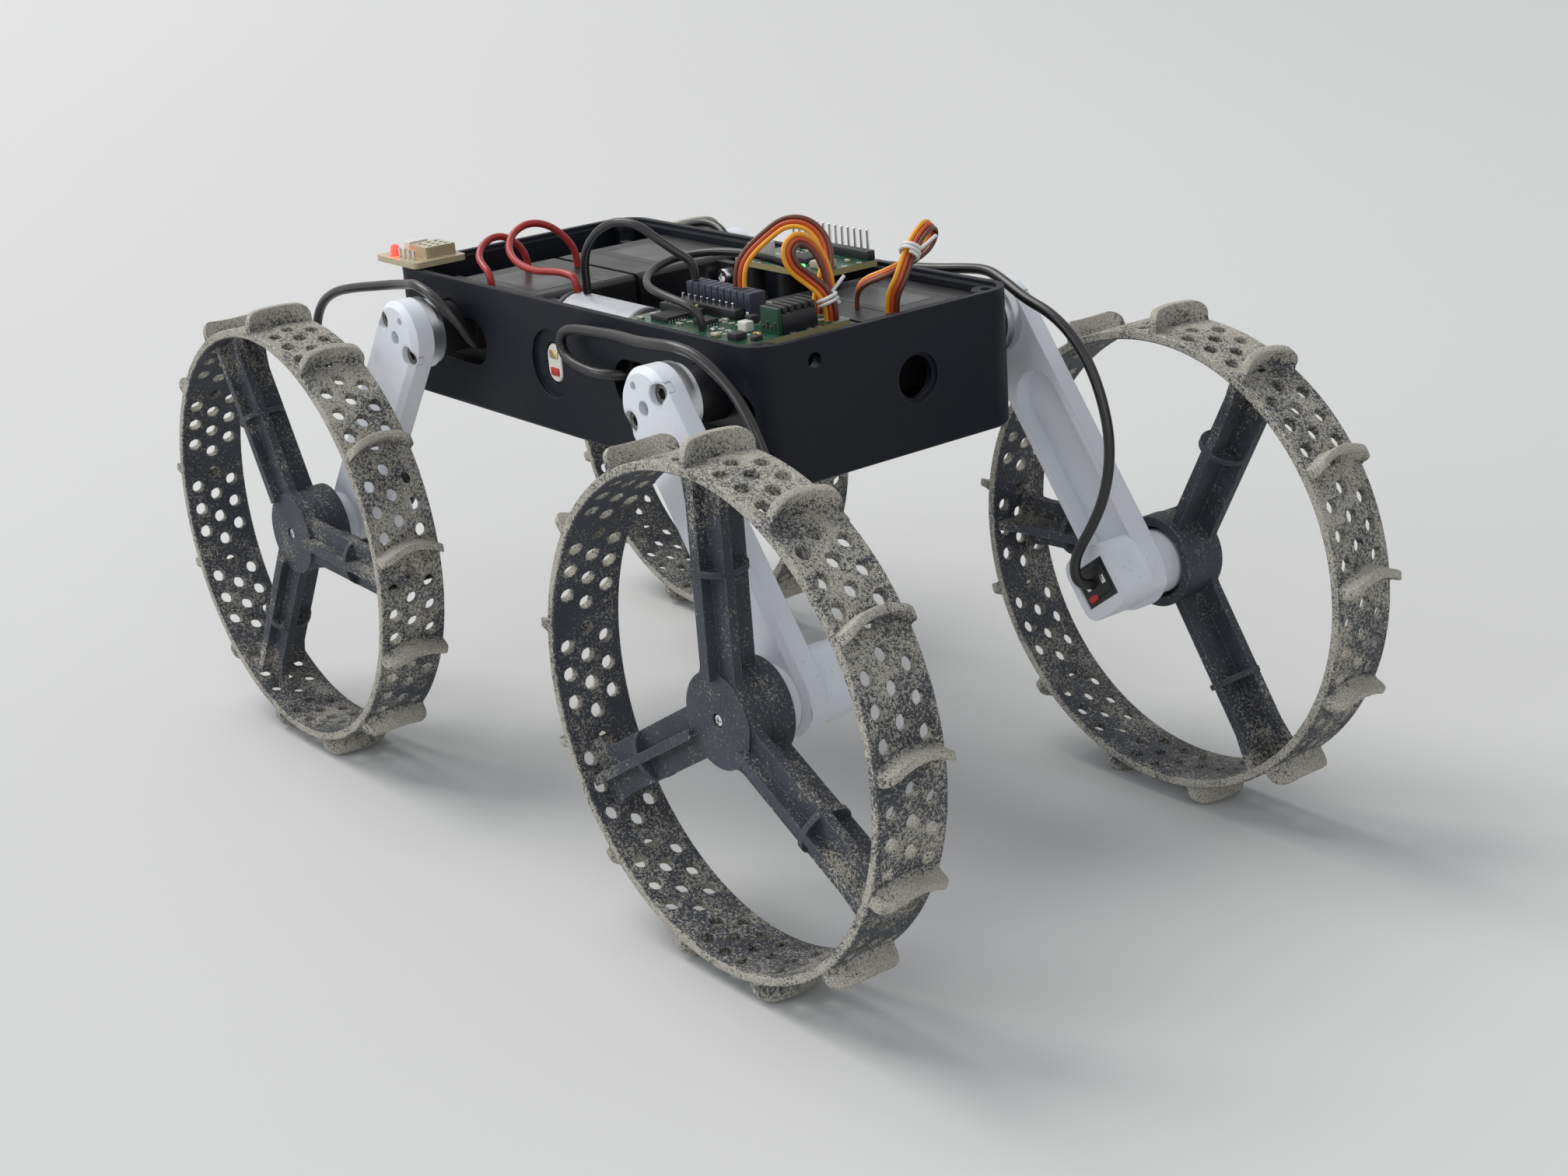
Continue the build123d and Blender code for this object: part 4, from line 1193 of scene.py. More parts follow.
def spline_path(points: Sequence[Point], resolution: int = 10) -> List[Vector]:
    """Read the points along the smooth line that a route controls.

    Args:
        points: The route's control points, in metres.
        resolution: How many points the line has to each control point.

    Returns:
        The points in order.
    """
    data = bpy.data.curves.new("route", "CURVE")
    data.dimensions = "3D"
    data.resolution_u = resolution
    spline = data.splines.new("NURBS")
    spline.points.add(len(points) - 1)
    for slot, spot in zip(spline.points, points):
        slot.co = (*spot, 1.0)
    spline.order_u = 3
    spline.use_endpoint_u = True
    holder = bpy.data.objects.new("route", data)
    bpy.context.scene.collection.objects.link(holder)
    mesh = bpy.data.meshes.new_from_object(holder)
    path = [vert.co.copy() for vert in mesh.vertices]
    bpy.data.objects.remove(holder)
    bpy.data.meshes.remove(mesh)
    bpy.data.curves.remove(data)
    return path


def path_length(path: Sequence[Vector]) -> float:
    """The length of a path in metres."""
    return sum((after - before).length for before, after in zip(path, path[1:]))


# Repeated things


class RingCopier:
    """A Geometry Nodes tree that sets copies of a unit mesh round the Z axis."""

    @staticmethod
    @cache
    def tree() -> NodeTree:
        """Build the tree, or give the one of the first call.

        Returns:
            The tree.
        """
        tree = bpy.data.node_groups.new("Ring of copies", "GeometryNodeTree")
        for label, way, kind in (
                ("Geometry", "INPUT", "Geometry"), ("Count", "INPUT", "Int"),
                ("First angle", "INPUT", "Float"), ("Weld distance", "INPUT", "Float"),
                ("Material", "INPUT", "Material"), ("Geometry", "OUTPUT", "Geometry")):
            tree.interface.new_socket(label, in_out=way, socket_type="NodeSocket" + kind)
        nodes = tree.nodes
        given = nodes.new("NodeGroupInput")
        out = nodes.new("NodeGroupOutput")
        points = nodes.new("GeometryNodePoints")
        index = nodes.new("GeometryNodeInputIndex")
        full = nodes.new("ShaderNodeMath")
        full.operation = "DIVIDE"
        full.inputs[0].default_value = 2 * math.pi
        step = nodes.new("ShaderNodeMath")
        step.operation = "MULTIPLY_ADD"
        spin = nodes.new("ShaderNodeCombineXYZ")
        copies = nodes.new("GeometryNodeInstanceOnPoints")
        real = nodes.new("GeometryNodeRealizeInstances")
        weld = nodes.new("GeometryNodeMergeByDistance")
        finish = nodes.new("GeometryNodeSetMaterial")
        for start, end in (
                (given.outputs["Count"], points.inputs["Count"]),
                (given.outputs["Count"], full.inputs[1]),
                (index.outputs[0], step.inputs[0]),
                (full.outputs[0], step.inputs[1]),
                (given.outputs["First angle"], step.inputs[2]),
                (step.outputs[0], spin.inputs["Z"]),
                (points.outputs[0], copies.inputs["Points"]),
                (given.outputs["Geometry"], copies.inputs["Instance"]),
                (spin.outputs[0], copies.inputs["Rotation"]),
                (copies.outputs[0], real.inputs[0]),
                (real.outputs[0], weld.inputs["Geometry"]),
                (given.outputs["Weld distance"], weld.inputs["Distance"]),
                (weld.outputs[0], finish.inputs["Geometry"]),
                (given.outputs["Material"], finish.inputs["Material"]),
                (finish.outputs[0], out.inputs["Geometry"])):
            tree.links.new(start, end)
        for order, node in enumerate(nodes):
            node.location = (order * 180, 0)
        return tree

    @classmethod
    def copies(cls, unit: Piece, count: int, first: float,
               finish: Finish) -> bpy.types.Mesh:
        """Make the ring and return it as a plain mesh.

        Args:
            unit: The object with the unit mesh, which is used up.
            count: How many copies there are.
            first: The angle of the first copy, in degrees.
            finish: The finish of them all.

        Returns:
            The mesh of all the copies.
        """
        tree = cls.tree()
        modifier = unit.modifiers.new("Ring", "NODES")
        modifier.node_group = tree
        values = {"Count": count, "First angle": math.radians(first), "Weld distance": 2e-6,
                  "Material": finish.material()}
        for item in tree.interface.items_tree:
            if item.in_out == "INPUT" and item.name in values:
                modifier[item.identifier] = values[item.name]
        graph = bpy.context.evaluated_depsgraph_get()
        graph.update()
        mesh = bpy.data.meshes.new_from_object(unit.evaluated_get(graph), depsgraph=graph)
        unit.modifiers.clear()
        bpy.data.objects.remove(unit)
        return mesh


# Wheels


@dataclass
class Wheel:
    """A perforated wheel with tall arched lugs and three webbed spokes."""

    corner: Corner
    lug_turn: int
    rim_r: float = 60.0
    rim_wall: float = 2.4
    rim_width: float = 19.2
    lug_count: int = 13
    lug_phase: float = -78.951
    lug_height: float = 5.0
    lug_thick: float = 2.1
    lug_bulge: float = 3.2
    lug_corner: float = 3.3
    lug_root: float = 0.9
    lug_edge: float = 0.38
    lug_inset: float = 0.1
    lug_steps: int = 28
    holes_to_lug: int = 4
    hole_columns: int = 3
    hole_column_width: float = 5.5
    hole_r: float = 1.85
    hole_edge: float = 0.22
    rim_edge: float = 0.35
    hub_face: float = -5.0
    edge_dust: float = 0.72
    tread_dust: float = 0.50
    hole_dust: float = 0.62
    inside_dust: float = 0.26
    lug_dust: float = 0.56
    lug_top_dust: float = 0.34
    spoke_dust: float = 0.16
    foot_dust: float = 0.40
    foot_from: float = 44.0
    foot_length: float = 14.0
    foot_bite: float = 0.5

    @property
    def pitch(self) -> float:
        """The angle from one lug to the next, in degrees."""
        return 360.0 / self.lug_count

    @property
    def cell(self) -> float:
        """The angle from one hole of a column to the next, in degrees."""
        return self.pitch / self.holes_to_lug

    @property
    def inner_r(self) -> float:
        """The radius of the rim's inside."""
        return self.rim_r - self.rim_wall

    def sector(self) -> Piece:
        """Make the perforated rim from one lug to the next, about Z from angle 0.

        Returns:
            The rim's sector.
        """
        carver = Carver()
        known: Dict[Tuple[int, int, int], Vert] = {}

        def spot(radius: float, angle: float, height: float) -> Vert:
            """Give the corner at a place, one for all the faces that meet there.

            Args:
                radius: How far from the axle it is, in millimetres.
                angle: Where it is round the rim, in degrees.
                height: Where it is along the axle, in millimetres.

            Returns:
                The corner.
            """
            key = (round(radius * 1000), round(angle * 10000), round(height * 1000))
            if key not in known:
                turn = math.radians(angle)
                known[key] = carver.work.verts.new((
                    radius * math.cos(turn), radius * math.sin(turn), height))
                known[key][carver.dust] = self.dust_at(radius, height)
            return known[key]

        faces = []
        for column in range(self.hole_columns):
            across = (column - (self.hole_columns - 1) / 2) * self.hole_column_width
            shift = 0.5 * (column % 2)
            for row in range(self.holes_to_lug):
                # A lug stands on the first place of the columns that aren't shifted
                holed = shift > 0 or row > 0
                faces += self.hole_cell(carver, spot, (row + shift) * self.cell,
                                        -self.rim_width / 2 + across, holed)
        faces += self.margins(carver, spot)
        carver.finish_faces(faces, WHEEL_PLASTIC, None)
        return carver.to_object("rim_sector")

    def hole_cell(self, carver: Carver, spot: Spot, angle: float, height: float,
                  holed: bool) -> List[Face]:
        """Make one cell of the rim, with a chamfered hole through it or plain.

        Args:
            carver: The work.
            spot: Gives the corner at a radius, an angle in degrees and a height.
            angle: Where the cell's middle is round the rim, in degrees.
            height: Where its middle is along the axle.
            holed: Whether it has a hole.

        Returns:
            The cell's faces.
        """
        half = self.hole_column_width / 2
        arc = math.radians(1.0) * self.rim_r
        quarters = [-2, -1, 0, 1, 2]
        corners = [(angle + q * self.cell / 4, height - half) for q in quarters]
        corners.append((angle + self.cell / 2, height))
        corners += [(angle + q * self.cell / 4, height + half) for q in reversed(quarters)]
        corners.append((angle - self.cell / 2, height))
        outer_ring = [spot(self.rim_r, *place) for place in corners]
        inner_ring = [spot(self.inner_r, *place) for place in corners]
        if not holed:
            return [carver.work.faces.new(outer_ring),
                    carver.work.faces.new(tuple(reversed(inner_ring)))]
        rings = [outer_ring]
        for radius, reach in (
                (self.rim_r, self.hole_r + self.hole_edge),
                (self.rim_r - self.hole_edge, self.hole_r),
                (self.inner_r + self.hole_edge, self.hole_r),
                (self.inner_r, self.hole_r + self.hole_edge)):
            ring = []
            for place, level in corners:
                along = (place - angle) * arc
                across = level - height
                away = math.hypot(along, across)
                ring.append(spot(radius, angle + along / away * reach / arc,
                                 height + across / away * reach))
            rings.append(ring)
        return carver.join_rows(rings + [inner_ring], capped=False)

    def margins(self, carver: Carver, spot: Spot) -> List[Face]:
        """Make the plain strips beside the holes, with chamfered edges.

        Args:
            carver: The work.
            spot: Gives the corner at a radius, an angle in degrees and a height.

        Returns:
            Their faces.
        """
        inner, edge = self.inner_r, self.rim_edge
        middle, half = -self.rim_width / 2, self.hole_columns * self.hole_column_width / 2
        low, high = -self.rim_width, 0.0
        profiles = (
            [(self.rim_r, middle + half), (self.rim_r, high - edge), (self.rim_r - edge, high),
             (inner + edge, high), (inner, high - edge), (inner, middle + half)],
            [(inner, middle - half), (inner, low + edge), (inner + edge, low),
             (self.rim_r - edge, low), (self.rim_r, low + edge), (self.rim_r, middle - half)],
        )
        faces = []
        for profile in profiles:
            for step in range(self.holes_to_lug * 4):
                before = -self.cell / 2 + step * self.cell / 4
                after = -self.cell / 2 + (step + 1) * self.cell / 4
                for (r0, v0), (r1, v1) in zip(profile, profile[1:]):
                    faces.append(carver.work.faces.new((
                        spot(r0, before, v0), spot(r0, after, v0),
                        spot(r1, after, v1), spot(r1, before, v1))))
        return faces

    def dust_at(self, radius: float, height: float) -> float:
        """How dusty the rim is at a place on it.

        Args:
            radius: The radius of the place in millimetres.
            height: Its height from the outer face, 0 or less.

        Returns:
            0 for clean plastic, 1 for a full cover.
        """
        if height > -self.rim_edge or height < self.rim_edge - self.rim_width:
            return self.edge_dust
        if radius > self.rim_r - 0.15:
            return self.tread_dust
        return self.inside_dust if radius < self.inner_r + 0.15 else self.hole_dust

    def one_lug(self) -> Piece:
        """Make one arched lug on the tread at angle 0, with rounded top corners.

        Returns:
            The lug.
        """
        carver = Carver()
        rows = []
        half = self.rim_width / 2
        reach = half - self.lug_inset
        edge = self.lug_edge
        low = self.rim_r - self.lug_root
        for step in range(self.lug_steps + 1):
            # Closer together near the ends, where the corners are
            v = -half + reach * math.sin(math.pi * (step / self.lug_steps - 0.5))
            from_end = reach - abs(v + half)
            drop = 0.0
            if from_end < self.lug_corner:
                left = self.lug_corner - from_end
                drop = self.lug_corner - math.sqrt(max(0.0, self.lug_corner ** 2 - left ** 2))
            top = self.rim_r + self.lug_height - drop
            place = (v + half) / half
            near = self.lug_bulge * (1 - place * place)
            slope = -2 * self.lug_bulge * place / half
            far = near + self.lug_thick * math.hypot(1.0, slope) ** 0.5
            # From the hollow side over the top to the bulging side, wider at the tread
            outline = [
                (low, near - 0.25), (self.rim_r + 0.2, near - 0.2), (self.rim_r + 0.5, near),
                (top - edge, near), (top - edge * 0.3, near + edge * 0.3), (top, near + edge),
                (top, far - edge), (top - edge * 0.3, far - edge * 0.3), (top - edge, far),
                (self.rim_r + 0.5, far), (self.rim_r + 0.2, far + 0.2), (low, far + 0.25)]
            rows.append([carver.work.verts.new((max(x, low), y, v)) for x, y in outline])
            for vert in rows[-1]:
                share = (vert.co.x - self.rim_r) / self.lug_height
                vert[carver.dust] = self.lug_dust + self.lug_top_dust * share
        faces = carver.join_rows(rows)
        bmesh.ops.recalc_face_normals(carver.work, faces=faces)
        carver.finish_faces(faces, WHEEL_PLASTIC, None)
        return carver.to_object("one_lug", 50.0)

    def build(self) -> None:
        """Join rim, lugs and spokes in place of the plain wheel."""
        name = "wheel_" + self.corner.tag
        first = self.lug_phase + self.lug_turn * self.pitch
        tread = RingCopier.copies(self.sector(), self.lug_count, first, WHEEL_PLASTIC)
        lugs = RingCopier.copies(self.one_lug(), self.lug_count, first, WHEEL_PLASTIC)
        carver = Carver()
        for mesh in (tread, lugs):
            mesh.transform(PLAN.hub_place(self.corner))
            carver.work.from_mesh(mesh)
            bpy.data.meshes.remove(mesh)
        for face in carver.work.faces:
            face.smooth = True
            if self.corner.side > 0:
                face.normal_flip()
        bmesh.ops.scale(carver.work, vec=(1 / MM,) * 3, verts=carver.work.verts)
        carver.index_of(WHEEL_PLASTIC)
        inner = self.inner_r
        centre = Vector((self.corner.end * PLAN.hub_x, 0.0, PLAN.hub_z))

        def inside(spots: Sequence[Vector]) -> bool:
            """Whether a face belongs to the hub or a spoke, and not to the rim."""
            reach = [math.hypot(p.x - centre.x, p.z - centre.z) for p in spots]
            return max(reach) < inner + 0.12 and min(reach) < inner - 0.12

        before = len(carver.work.verts)
        carver.adopt(bpy.data.objects[name].data, WHEEL_PLASTIC, inside)
        carver.work.verts.ensure_lookup_table()
        for vert in carver.work.verts[before:]:
            reach = math.hypot(vert.co.x - centre.x, vert.co.z - centre.z)
            if reach > inner - 0.15:
                out = Vector((vert.co.x - centre.x, 0.0, vert.co.z - centre.z)).normalized()
                vert.co += out * self.foot_bite
            share = max(0.0, (reach - self.foot_from) / self.foot_length)
            vert[carver.dust] = self.spoke_dust + self.foot_dust * share ** 2
        self.hub_screw(carver)
        made = carver.to_object(name + "_dressed", 32.0)
        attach(made, self.corner.wheel_body)
        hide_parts(name)
        report(made, "perforated wheel with lugs and webbed spokes")

    def hub_screw(self, carver: Carver) -> None:
        """Add the bright screw in the hub's middle, its cross slots a darker cross of painted shade.

        Args:
            carver: The wheel's work, in millimetres.
        """
        place = PLAN.hub_place(self.corner)
        place.translation = place.translation / MM
        face = self.hub_face
        carver.lathe([(face - 1.35, 1.42), (face - 0.62, 1.5), (face - 0.36, 1.3),
                      (face - 0.24, 0.85)], BRIGHT_STEEL, 24, place)
        # Painted shade: a raised cross of darker steel stands for the shade in the head's slots
        for wide, deep in ((1.9, 0.36), (0.36, 1.9)):
            carver.block((-wide / 2, -deep / 2, face - 0.5), (wide / 2, deep / 2, face - 0.17),
                         SCREW_STEEL, edge=0.06, steps=1, turn=place)


# Leg fittings


@dataclass
class LegFittings:
    """The two cap screws through a leg's head and the end cap of its motor."""

    corner: Corner
    screw_reach: float = 7.0
    screw_r: float = 2.6
    screw_low: float = 55.5
    screw_high: float = 57.4
    sleeve_r: float = 2.68
    recess_r: float = 3.05
    head_r: float = 9.78
    head_flat_r: float = 8.3
    leg_face: float = 58.79
    socket: float = 1.25
    socket_depth: float = 1.5
    motor_face: float = 42.6
    sleeve_foot: float = 0.08
    sleeve_thin: float = 0.04
    sleeve_steps: int = 48
    cap_half: Tuple[float, float] = (4.3, 3.6)
    tab_half: Tuple[float, float] = (0.7, 1.1)
    tab_reach: float = 3.0

    def outward(self, x: float, y: float, z: float) -> Matrix:
        """Place a piece that is drawn about Z, its Z pointing out of the rover's side.

        Args:
            x: How far forward it goes, in millimetres.
            y: How far it goes to the corner's side.
            z: How high it goes.

        Returns:
            The matrix for it.
        """
        side = self.corner.side
        return Matrix(((float(side), 0.0, 0.0, x), (0.0, 0.0, float(side), side * y),
                       (0.0, -1.0, 0.0, z), (0.0, 0.0, 0.0, 1.0)))

    def build(self) -> None:
        """Make the screws and the motor's cap."""
        self.screws()
        self.motor_cap()

    def screws(self) -> None:
        """Make the socket screws that clamp the leg on its horn."""
        corner = self.corner
        carver = Carver()
        angle = math.radians(PLAN.rest_angle)
        for way in (-1, 1):
            x = corner.end * (PLAN.pivot_x + way * self.screw_reach * math.cos(angle))
            z = PLAN.pivot_z + way * self.screw_reach * math.sin(angle)
            carver.socket_screw(self.screw_r, self.screw_high - self.screw_low, self.socket,
                                self.socket_depth, SCREW_STEEL,
                                self.outward(x, self.screw_low, z))
            self.sleeve(carver, way)
        made = carver.to_object("horn_screws_%s_dressed" % corner.tag, 32.0)
        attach(made, corner.leg_body)
        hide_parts("horn_screws_" + corner.tag)
        report(made, "cap screws of the leg's head")

    def sleeve(self, carver: Carver, way: int) -> None:
        """Line one screw's recess, with a top that follows the leg's chamfered edge.

        Args:
            carver: The work, in millimetres.
            way: 1 for the screw at the leg's outer edge and -1 for the other.
        """
        corner = self.corner
        angle = math.radians(PLAN.rest_angle)
        rows: List[List[Vert]] = [[], [], [], []]
        for turn in round_steps(self.sleeve_steps):

            def spot(radius: float) -> Point:
                """Measure a place of the recess from the middle of the leg's head.

                Args:
                    radius: How far it is from the recess's own middle.

                Returns:
                    How far along, down and away it is.
                """
                across = way * self.screw_reach + radius * math.cos(turn)
                down = radius * math.sin(turn)
                reach = abs(across) if down > 0 else math.hypot(across, down)
                return across, down, reach

            outer = self.recess_r
            while spot(outer)[2] > self.head_r and outer > self.sleeve_r + self.sleeve_thin:
                outer -= 0.01
            for row, radius, low in ((0, outer, True), (1, outer, False),
                                     (2, self.sleeve_r, False), (3, self.sleeve_r, True)):
                across, down, reach = spot(radius)
                top = self.leg_face - max(0.0, reach - self.head_flat_r)
                along = across * math.cos(angle) + down * math.sin(angle)
                up = across * math.sin(angle) - down * math.cos(angle)
                rows[row].append(carver.work.verts.new((
                    corner.end * (PLAN.pivot_x + along),
                    corner.side * (self.screw_low - self.sleeve_foot if low else top),
                    PLAN.pivot_z + up)))
        faces = carver.join_rows(rows + [rows[0]], capped=False)
        bmesh.ops.recalc_face_normals(carver.work, faces=faces)
        carver.finish_faces(faces, LEG_PLASTIC, None)

    def motor_cap(self) -> None:
        """Make the motor's end cap with its two tabs and the red sleeve on one of them."""
        corner = self.corner
        carver = Carver()
        x, z = corner.end * PLAN.hub_x, PLAN.hub_z
        turn = self.outward(x, 0.0, z)
        tilt = Matrix.Rotation(-math.radians(PLAN.rest_angle) * corner.end * corner.side, 4, "Z")
        place = turn @ tilt
        face = self.motor_face
        wide, deep = self.cap_half
        carver.block((-wide, -deep, face - 0.35), (wide, deep, face + 0.4), CONNECTOR_BLACK,
                     edge=0.3, turn=place)
        wide, deep = self.tab_half
        for middle in (-self.tab_reach, self.tab_reach):
            carver.block((middle - wide, -deep, face - 0.6), (middle + wide, deep, face - 0.2),
                         BRIGHT_STEEL, edge=0.1, steps=1, turn=place)
        carver.block((-4.9, 2.3, face - 0.7), (-1.5, 4.0, face + 0.5), RED_PLASTIC, edge=0.4,
                     turn=place)
        made = carver.to_object("motor_cap_" + corner.tag)
        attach(made, corner.leg_body)
        report(made, "end cap of the wheel motor")


# Leads


# On the tray, in millimetres: forward of the pivot, out from the tray's side, up
ROOT_FRONT: List[Point] = [
    (-33.6, -11.0, -2.4), (-33.6, -7.2, -2.2), (-33.9, -2.8, -1.8), (-35.6, 1.4, -1.2),
    (-39.6, 3.7, -0.8), (-45.2, 4.0, -0.3), (-49.8, 3.9, 0.4), (-52.8, 3.9, 1.5),
    (-54.7, 3.9, 3.4), (-54.7, 3.9, 6.1), (-52.8, 3.9, 8.0), (-49.4, 3.9, 9.0),
    (-43.6, 4.0, 9.6), (-35.6, 4.3, 10.1), (-27.2, 4.9, 10.7), (-16.8, 6.8, 11.2),
    (-7.4, 8.1, 12.2), (1.1, 8.1, 12.9), (8.1, 6.9, 11.3),
]
ROOT_REAR: List[Point] = [
    (10.6, -3.0, -4.2), (10.9, -0.9, -4.0), (11.4, 1.3, -2.2), (11.6, 3.2, 0.8),
    (10.4, 5.4, 4.6), (7.4, 7.2, 8.4), (2.4, 8.3, 11.4), (-3.6, 8.1, 12.4),
    (-9.0, 6.9, 11.4),
]
# On the leg: away from the rover's middle, out from the tray's side, down the hanging leg
LEG_END: List[Point] = [
    (1.2, -2.7, 67.2), (-0.6, -3.3, 70.6), (-1.4, -1.9, 73.2), (-1.2, 1.3, 73.9),
]
LEG_BOW: List[Point] = [
    (19.0, 5.4, 4.0), (24.2, 5.5, 10.5), (27.6, 5.5, 18.5),
    (28.6, 5.4, 27.5), (27.4, 5.0, 36.5), (24.6, 4.4, 45.0), (20.4, 3.4, 52.0),
    (15.0, 1.8, 58.0), (9.4, -0.2, 62.2), (4.8, -1.8, 64.8),
]
LEG_LONG_BOW: List[Point] = [
    (21.5, 5.8, 3.5), (29.0, 6.4, 11.0), (37.0, 7.0, 19.0),
    (44.5, 7.2, 27.5), (49.3, 7.2, 36.5), (49.5, 7.0, 46.0), (45.5, 6.4, 54.5),
    (38.5, 5.2, 60.8), (30.0, 3.4, 64.6), (21.0, 1.0, 66.4), (12.6, -1.4, 66.6),
    (6.0, -2.5, 66.4),
]
LEG_CLOSE: List[Point] = [
    (17.2, 5.6, 5.5), (19.0, 5.8, 14.0), (18.6, 5.9, 23.0),
    (16.6, 5.8, 32.0), (13.6, 5.3, 41.0), (10.2, 4.2, 49.5), (7.0, 2.2, 56.5),
    (4.0, -0.6, 62.4),
]


@dataclass
class LegCable:
    """The black cable from the tray over the pivot to a leg's motor."""

    corner: Corner
    leg_route: List[Point]
    radius: float = 1.35
    sides: int = 16
    blend_from: float = -3.0
    blend_to: float = 17.0

    def route(self) -> List[Point]:
        """Put the cable's control points together, from the tray to the motor.

        Returns:
            The points at rest, in metres.
        """
        corner = self.corner
        root = ROOT_FRONT if corner.end > 0 else ROOT_REAR
        points = [((corner.end * PLAN.pivot_x + x) * MM,
                   corner.side * (PLAN.tray_side + out) * MM,
                   (PLAN.pivot_z + up) * MM) for x, out, up in root]
        return points + [PLAN.on_leg(corner, *spot) for spot in self.leg_route + LEG_END]

    def build(self) -> None:
        """Sweep the cable from the tray to the leg's motor."""
        corner = self.corner
        points = self.route()
        path = spline_path(points)
        carver = Carver()
        carver.strand(path, self.radius, WIRE_BLACK, self.sides)
        made = carver.to_object("leg_cable_" + corner.tag, 60.0)
        pivot = PLAN.pivot(corner)
        corner.leg_body
        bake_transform(made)
        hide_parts("cable_root_" + corner.tag, "cable_" + corner.tag)
        tuple(points[0])
        round(path_length(path), 3)
        [tuple(spot) for spot in path]
        report(made, "leg cable, %.0f mm long" % (path_length(path) / MM))


@dataclass
class TrayLead:
    """A lead inside the tray: one round wire, or a flat ribbon of three wires."""

    node: str
    route_mm: List[Point]
    wires: Sequence[Finish]
    radius: float
    slot: str
    ties: Sequence[float] = ()
    wire_step: float = 1.92
    tie_turns: float = 2.2
    tie_steps: int = 40
    tie_length: float = 2.4

    def build(self) -> None:
        """Sweep the lead's wires side by side, with its ties round it."""
        points = [tuple(part * MM for part in spot) for spot in self.route_mm]
        path = spline_path(points)
        carver = Carver()
        count = len(self.wires)
        for index, finish in enumerate(self.wires):
            step = (index - (count - 1) / 2) * self.radius * self.wire_step
            carver.strand(path, self.radius, finish, 10, side_step=step)
        made = carver.to_object(self.node + "_dressed", 60.0)
        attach(made, "chassis")
        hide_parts(self.node)
        width = self.radius * (self.wire_step * (count - 1) + 2)
        tie_pieces = [self.tie(path, share, number, width)
                      for number, share in enumerate(self.ties)]
        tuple(points[0])
        round(path_length(path), 3)
        [tuple(spot) for spot in path]
        report(made, "lead of %d wires, %.0f mm long" % (count, path_length(path) / MM))

    def tie(self, path: Sequence[Vector], share: float, number: int,
            width: float) -> Piece:
        """Make a white twist tie round the lead.

        Args:
            path: The lead's path.
            share: How far along the lead the tie sits, from 0 to 1.
            number: The tie's number.
            width: The lead's width in millimetres.

        Returns:
            The tie.
        """
        index = min(len(path) - 2, max(1, int(share * len(path))))
        spot = path[index]
        ahead = (path[index + 1] - path[index - 1]).normalized()
        side = ahead.orthogonal().normalized()
        other = ahead.cross(side)
        loop = []
        reach = (width / 2 + 0.55) * MM
        for step in range(self.tie_steps):
            share = step / (self.tie_steps - 1)
            angle = 2 * math.pi * self.tie_turns * share
            loop.append(spot + side * math.cos(angle) * reach + other * math.sin(angle) * reach
                        + ahead * (share - 0.5) * self.tie_length * MM)
        away = (side * 0.8 + other * 0.5 + ahead * 0.5).normalized()
        end = loop[-1]
        loop += [end + away * step * 0.7 * MM for step in range(1, 9)]
        carver = Carver()
        carver.strand(loop, 0.45, TIE_WHITE, 8)
        made = carver.to_object("%s_tie_%d" % (self.node, number), 60.0)
        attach(made, "chassis")
        return made


